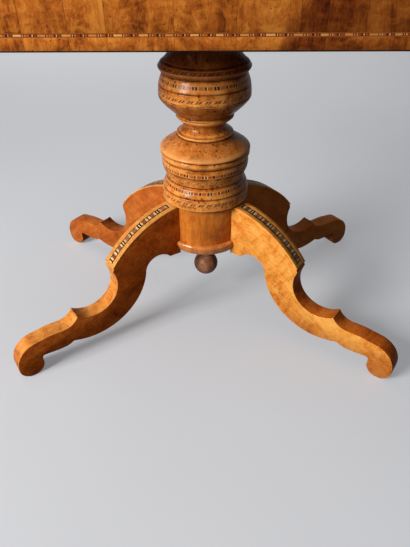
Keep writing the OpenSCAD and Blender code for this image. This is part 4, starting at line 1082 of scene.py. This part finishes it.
def in_leaves(mix, grain):
    """Splits a board into leaves of veneer, and gives tone, seams, cloud and the grain of each leaf."""
    up, across, through = mix.parts(grain)
    tone, number, nearest, shift_before = 0.5, 0.0, 1.0, 0.0
    for place, shift in LEAVES:
        beyond = mix.math("GREATER_THAN", across, place)
        tone = mix.times(beyond, shift - shift_before, tone)
        number = mix.plus(number, beyond)
        nearest = mix.math("MINIMUM", nearest, mix.size(mix.less(across, place)))
        shift_before = shift
    jump = mix.xyz(mix.times(number, LEAF_JUMP_ALONG), 0.0, mix.times(number, LEAF_JUMP_THROUGH))
    blur = mix.times(mix.noise(grain, (14, 26, 26), 3.0, 0.6), BLUR, across)
    edge = mix.times(up, CLOUD_SLANT, blur)
    cloud = mix.times(mix.between(edge, *CLOUD_EDGE), mix.between(edge, *CLOUD_FADE))
    feather = mix.size(mix.times(up, FEATHER_SLANT, mix.less(blur, FEATHER_PLACE)))
    tone = mix.less(tone, mix.between(feather, *FEATHER))
    return tone, mix.between(nearest, *SEAM), cloud, mix.vector("ADD", grain, jump)


FRIEZE_VENEER = wood("frieze_veneer", (104, 46, 13), (180, 97, 31), (218, 136, 54), streak=0.55, patch=0.6,
                     mottle=0.55, curl=0.6, burl=0.6, knots=0.35, sway=2.8, laying=in_leaves,
                     wear_and_highlight=1.2 * MM, rough=0.3, coat=0.08, shine=0.1)
for number, (side, across) in enumerate((("front", ALONG_X), ("back", ALONG_X), ("left", ALONG_Y),
                                         ("right", ALONG_Y))):
    eased("frieze_" + side, FRIEZE_VENEER, ALONG_Z, across, 0.5 * MM, shift=0.13 * number)
# A black string along the lower edge, partly a painted shadow.
eased("frieze_edge_line", DARK_LINE_AND_SHADOW, ALONG_X, ALONG_Z, 0.3 * MM)
print("leaves of veneer", len(LEAVES))

# %% [markdown]
# A line of pale dashes and dark blocks is let in above the lower edge on all four sides. On the short
# sides it stops just short of the corners, where the long ones pass.

# %% Lay the line round the frieze
DASHES = [("boxwood", 12.0), ("ebony", 1.6), ("boxwood", 1.8), ("ebony", 1.6), ("boxwood", 1.6),
          ("walnut", 5.5), ("ebony", 3.5), ("boxwood", 1.8), ("ebony", 1.6), ("walnut", 3.0),
          ("ebony", 1.6)]
# Each side: its length, the shortening of its line, the distance of its face, and its turn.
FRIEZE_SIDES = ((0.820, 0.0, 0.200, 0), (0.820, 0.0, 0.200, 180), (0.400, 3.2 * MM, 0.410, 90),
                (0.400, 3.2 * MM, 0.410, -90))
line_tree = inlay_tree("frieze_dashes", DASHES, "line", [("Stringing", "ebony"), ("Margin", "ground")])
line_low, line_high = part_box("frieze_line")
line_runs = []
for number, (side, trim, face, turn) in enumerate(FRIEZE_SIDES):
    line_runs.append(laid(line_tree, "dashes", SETS["line"], run=side - trim, seed=40 + number,
                          blocks=repeats_in(side - trim, DASHES) * len(DASHES),
                          width=line_high[2] - line_low[2], depth=1.5 * MM, gap=0.1 * MM,
                          stringing=0.5 * MM, margin=0.8 * MM, low_radius=face,
                          level=(line_low[2] + line_high[2]) / 2, turn=math.radians(turn)))
settled("dashes_on_frieze", joined_mesh("dashes_on_frieze", line_runs), None, "frieze_line")
print("dash faces", [len(mesh.polygons) for mesh in line_runs])

# %% [markdown]
# ## The top
# The leaves lie above the photograph, so their faces follow what such tables have: two matched sheets
# of veneer that mirror each other, a thin dark string, and a border with its grain across the edge.

# %% Veneer the leaves
LEAF_HALF_L, LEAF_HALF_W = 430 * MM, 215 * MM
BORDER, STRING_HALF = 42 * MM, 0.9 * MM
BORDER_SHIFT = (1.7, 0.4, 0.0)
BORDER_STAIN, BORDER_TONE, SHEET_TONE = 0.12, -0.07, 0.53
MITRE = (0.6 * MM, 0.2 * MM)


def crossbanded(mix, grain):
    """A mirrored pair of sheets inside a string and a border whose grain runs out to the edge."""
    x, y, z = mix.parts(mix.place())
    from_end = mix.less(LEAF_HALF_L, mix.size(x))
    from_side = mix.less(LEAF_HALF_W, mix.size(y))
    rim = mix.math("MINIMUM", from_end, from_side)
    in_border = mix.math("LESS_THAN", rim, BORDER)
    at_end = mix.math("LESS_THAN", from_end, from_side)
    border = mix.mixed(at_end, mix.xyz(y, x, z), mix.vector("ADD", grain, BORDER_SHIFT))
    string = mix.math("LESS_THAN", mix.size(mix.less(rim, BORDER)), STRING_HALF)
    mitre = mix.between(mix.size(mix.less(from_end, from_side)), *MITRE)
    lines = mix.math("MAXIMUM", mix.times(string, 0.9), mix.times(mix.times(mitre, in_border), 0.6))
    sheet = mix.xyz(mix.size(x), y, z)
    tone = mix.times(in_border, BORDER_TONE, SHEET_TONE)
    return tone, lines, mix.times(in_border, BORDER_STAIN), mix.mixed(in_border, sheet, border)


TOP_VENEER = wood("top_veneer", (124, 58, 18), (196, 112, 42), (228, 152, 68), streak=0.8, patch=0.5,
                  mottle=0.4, curl=0.2, burl=0.5, knots=0.25, sway=2.2, laying=crossbanded,
                  wear_and_highlight=1.5 * MM, coat=0.12, shine=0.12)
for number, node in enumerate(("leaf_lower", "leaf_upper")):
    eased(node, TOP_VENEER, ALONG_X, ALONG_Y, 1.5 * MM, 3, 2.3 + number)
print("border of the top in metres", BORDER)

# %% [markdown]
# ## Carcass and metal
# The parts inside the frieze were never meant to be seen. They are plain planed softwood. The rod,
# plates and nuts are iron, and the hinges are brass.

# %% Dress what is inside
INSIDE = (("bearer_long", ALONG_X, ALONG_Y), ("bearer_cross", ALONG_Y, ALONG_X),
          ("corner_blocks", ALONG_Z, ALONG_X), ("well_floor", ALONG_X, ALONG_Y),
          ("well_divider", ALONG_Y, ALONG_Z), ("deck", ALONG_Y, ALONG_X), ("spindle", ALONG_Z, ALONG_X),
          ("stop_peg", ALONG_Z, ALONG_X))
for number, (node, along, across) in enumerate(INSIDE):
    eased(node, PLAIN_WOOD, along, across, 0.6 * MM, shift=0.41 * number)


def metal(name, colour, shade, rough, metallic=1.0):
    """Worked metal: tarnish in clouds, fine file marks and a soft sheen."""
    material, mix = new_finish(name)
    place = mix.place()
    cloud = mix.noise(place, (60, 60, 60), 3.0)
    marks = mix.noise(place, (300, 1500, 1500))
    base = mix.ramp(mix.times(marks, 0.25, mix.times(cloud, 0.9)), [(0.3, shade), (0.75, colour)])
    gloss = mix.between(cloud, 0.3, 0.7, rough + 0.14, rough - 0.06, "LINEAR")
    mix.finish({"Base Color": base, "Metallic": metallic, "Roughness": gloss,
                "Normal": mix.bump(marks, 0.15, 0.3 * MM)})
    return material


IRON = metal("black_iron", (92, 88, 84), (44, 38, 34), 0.5, 0.9)
BRASS = metal("aged_brass", (206, 164, 88), (128, 92, 46), 0.34)
for node in ("hub_plate", "tie_rod", "tie_nut", "pivot_washer", "pivot_plate", "pivot_nut"):
    eased(node, IRON, ALONG_X, ALONG_Y, 0.3 * MM)
for node in ("hinge_plates_lower", "hinge_plates_upper", "hinge_pins"):
    eased(node, BRASS, ALONG_X, ALONG_Y, 0.25 * MM)
print("inside pieces", len(INSIDE))

# %% [markdown]
# ## Screws
# Every screw here has a plain slotted head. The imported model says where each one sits, which way it
# points and how thick it is. Its own mesh is a thin shank with a wide end, so the end that reaches
# furthest from the axis is the head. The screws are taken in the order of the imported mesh, so each
# one gets the same turn in every run.

# %% Find the screws
END_REACH, SAME_LEVEL = 0.05 * MM, 0.1 * MM


def islands(node):
    """The separate shapes of a CAD node, each as an array of its points."""
    skin = merged(node)
    left, found = set(skin.verts), []
    for first in skin.verts:
        if first not in left:
            continue
        left.remove(first)
        edge, island = [first], []
        while edge:
            point = edge.pop()
            island.append(point.co[:])
            fresh = [e.other_vert(point) for e in point.link_edges if e.other_vert(point) in left]
            left.difference_update(fresh)
            edge += fresh
        found.append(np.array(island))
    skin.free()
    return found


def screw_mark(spots):
    """For one screw: the middle of its head, the way it faces, and its four sizes."""
    low, high = spots.min(axis=0), spots.max(axis=0)
    middle, axis = (low + high) / 2, int(np.argmax(high - low))
    reach = np.linalg.norm(np.delete(spots - middle, axis, axis=1), axis=1)
    ends = [low[axis], high[axis]]
    radii = [reach[np.abs(spots[:, axis] - end) < END_REACH].max() for end in ends]
    head = int(radii[1] > radii[0])
    inside = np.abs(spots[:, axis] - ends[head])
    middle[axis] = ends[head]
    facing = np.zeros(3)
    facing[axis] = 1 if head else -1
    sizes = (radii[head], inside[inside > SAME_LEVEL].min(), radii[1 - head], ends[1] - ends[0])
    return middle, facing, tuple(round(float(v), 5) for v in sizes)


screw_marks = {node: [screw_mark(spots) for spots in islands(node)]
               for node in ("hub_plate_screws", "bearer_screws", "leaf_screws_lower", "leaf_screws_upper")}
print("screws", {node: len(marks) for node, marks in screw_marks.items()})

# %% [markdown]
# A Geometry Nodes tree builds one screw from those sizes, cuts the slot with a Boolean, and sets a
# copy at each place with a turn of its own, because no two screws stop at the same angle.

# %% Build the screw tree
SCREW_SIZES = ("Head radius", "Head height", "Shank radius", "Length")
HEAD_SIDES, SHANK_SIDES, SLOT_LONG, SLOT_WIDE, HALF_TURN = 28, 16, 3.0, 0.3, 3.1


def screw_tree():
    """One slotted screw in the tree's sizes, set at every one of its places."""
    tree, mix, given = new_tree("slotted_screws", [("Places", "Geometry")]
                                + [(label, "Float") for label in SCREW_SIZES]
                                + [("Seed", "Int"), ("Metal", "Material")])
    head_r, head_h, shank_r, length = (given[label] for label in SCREW_SIZES)

    def rod(sides, radius, height, middle):
        shape = mix.add("GeometryNodeMeshCylinder", {"Vertices": sides, "Radius": radius, "Depth": height},
                        "Mesh")
        return mix.add("GeometryNodeTransform", {"Geometry": shape,
                                                 "Translation": mix.xyz(z=mix.times(middle, -1.0))})

    head = rod(HEAD_SIDES, head_r, head_h, mix.times(head_h, 0.5))
    slot = mix.add("GeometryNodeMeshCube", {"Size": mix.xyz(
        mix.times(head_r, SLOT_LONG), mix.times(head_r, SLOT_WIDE), head_h)})
    head = mix.add("GeometryNodeMeshBoolean", {"Mesh 1": head, "Mesh 2": slot}, operation="DIFFERENCE")
    rest = mix.less(length, head_h)
    shank = rod(SHANK_SIDES, shank_r, rest, mix.times(rest, 0.5, head_h))
    screw = tree.nodes.new("GeometryNodeJoinGeometry")
    tree.links.new(head, screw.inputs[0])
    tree.links.new(shank, screw.inputs[0])
    aim = mix.add("GeometryNodeInputNamedAttribute", {"Name": "aim"}, data_type="FLOAT_VECTOR")
    screws = mix.add("GeometryNodeInstanceOnPoints", {"Points": given["Places"],
                                                      "Instance": screw.outputs[0], "Rotation": aim})
    turn = mix.xyz(z=random_number(mix, 0.0, HALF_TURN, given["Seed"]))
    screws = mix.add("GeometryNodeRotateInstances", {"Instances": screws, "Rotation": turn})
    screws = mix.add("GeometryNodeRealizeInstances", {"Geometry": screws})
    screws = mix.add("GeometryNodeSetMaterial", {"Geometry": screws, "Material": given["Metal"]})
    mix.add("NodeGroupOutput", {0: screws})
    return tree


SCREW_TREE = screw_tree()
print("nodes of the screw tree", len(SCREW_TREE.nodes))

# %% [markdown]
# The screws of one node can differ in size, so the tree is run once for each size.

# %% Set the screws
for seed, (node, marks) in enumerate(screw_marks.items()):
    metal_of = BRASS if node.startswith("leaf") else IRON
    kinds = sorted({sizes for middle, facing, sizes in marks})
    made = []
    for sizes in kinds:
        same = [(middle, facing) for middle, facing, own in marks if own == sizes]
        places = bpy.data.meshes.new("screw_places")
        places.from_pydata([tuple(middle) for middle, facing in same], [], [])
        store(places, "aim", "FLOAT_VECTOR", [Vector(facing).to_track_quat("Z", "Y").to_euler()[:]
                                              for middle, facing in same])
        values = dict(zip(SCREW_SIZES, sizes)) | {"Seed": 60 + seed, "Metal": metal_of}
        made.append(run_tree(SCREW_TREE, places, values))
    mesh = joined_mesh("screws_" + node, made)
    smooth(mesh, 30)
    settled("set_of_" + node, mesh, metal_of, node)
    print(node, len(marks), "screws of", len(kinds), "sizes")

# %% [markdown]
# ## Felt
# Four small pads of green felt let the leaves turn on the frieze without a scratch.

# %% Dress the felt
FELT, felt = new_finish("green_felt")
fuzz = felt.noise(felt.place(), (1400, 1400, 1400), 3.0, 0.7)
felt.finish({"Base Color": felt.ramp(fuzz, [(0.3, (38, 62, 40)), (0.7, (74, 104, 66))]),
             "Roughness": 0.95, "Normal": felt.bump(fuzz, 0.6, 0.6 * MM), "Sheen Weight": 0.4})
eased("felt_pads", FELT, ALONG_X, ALONG_Y, 0.3 * MM)
print("felt on", body_of["felt_pads"])
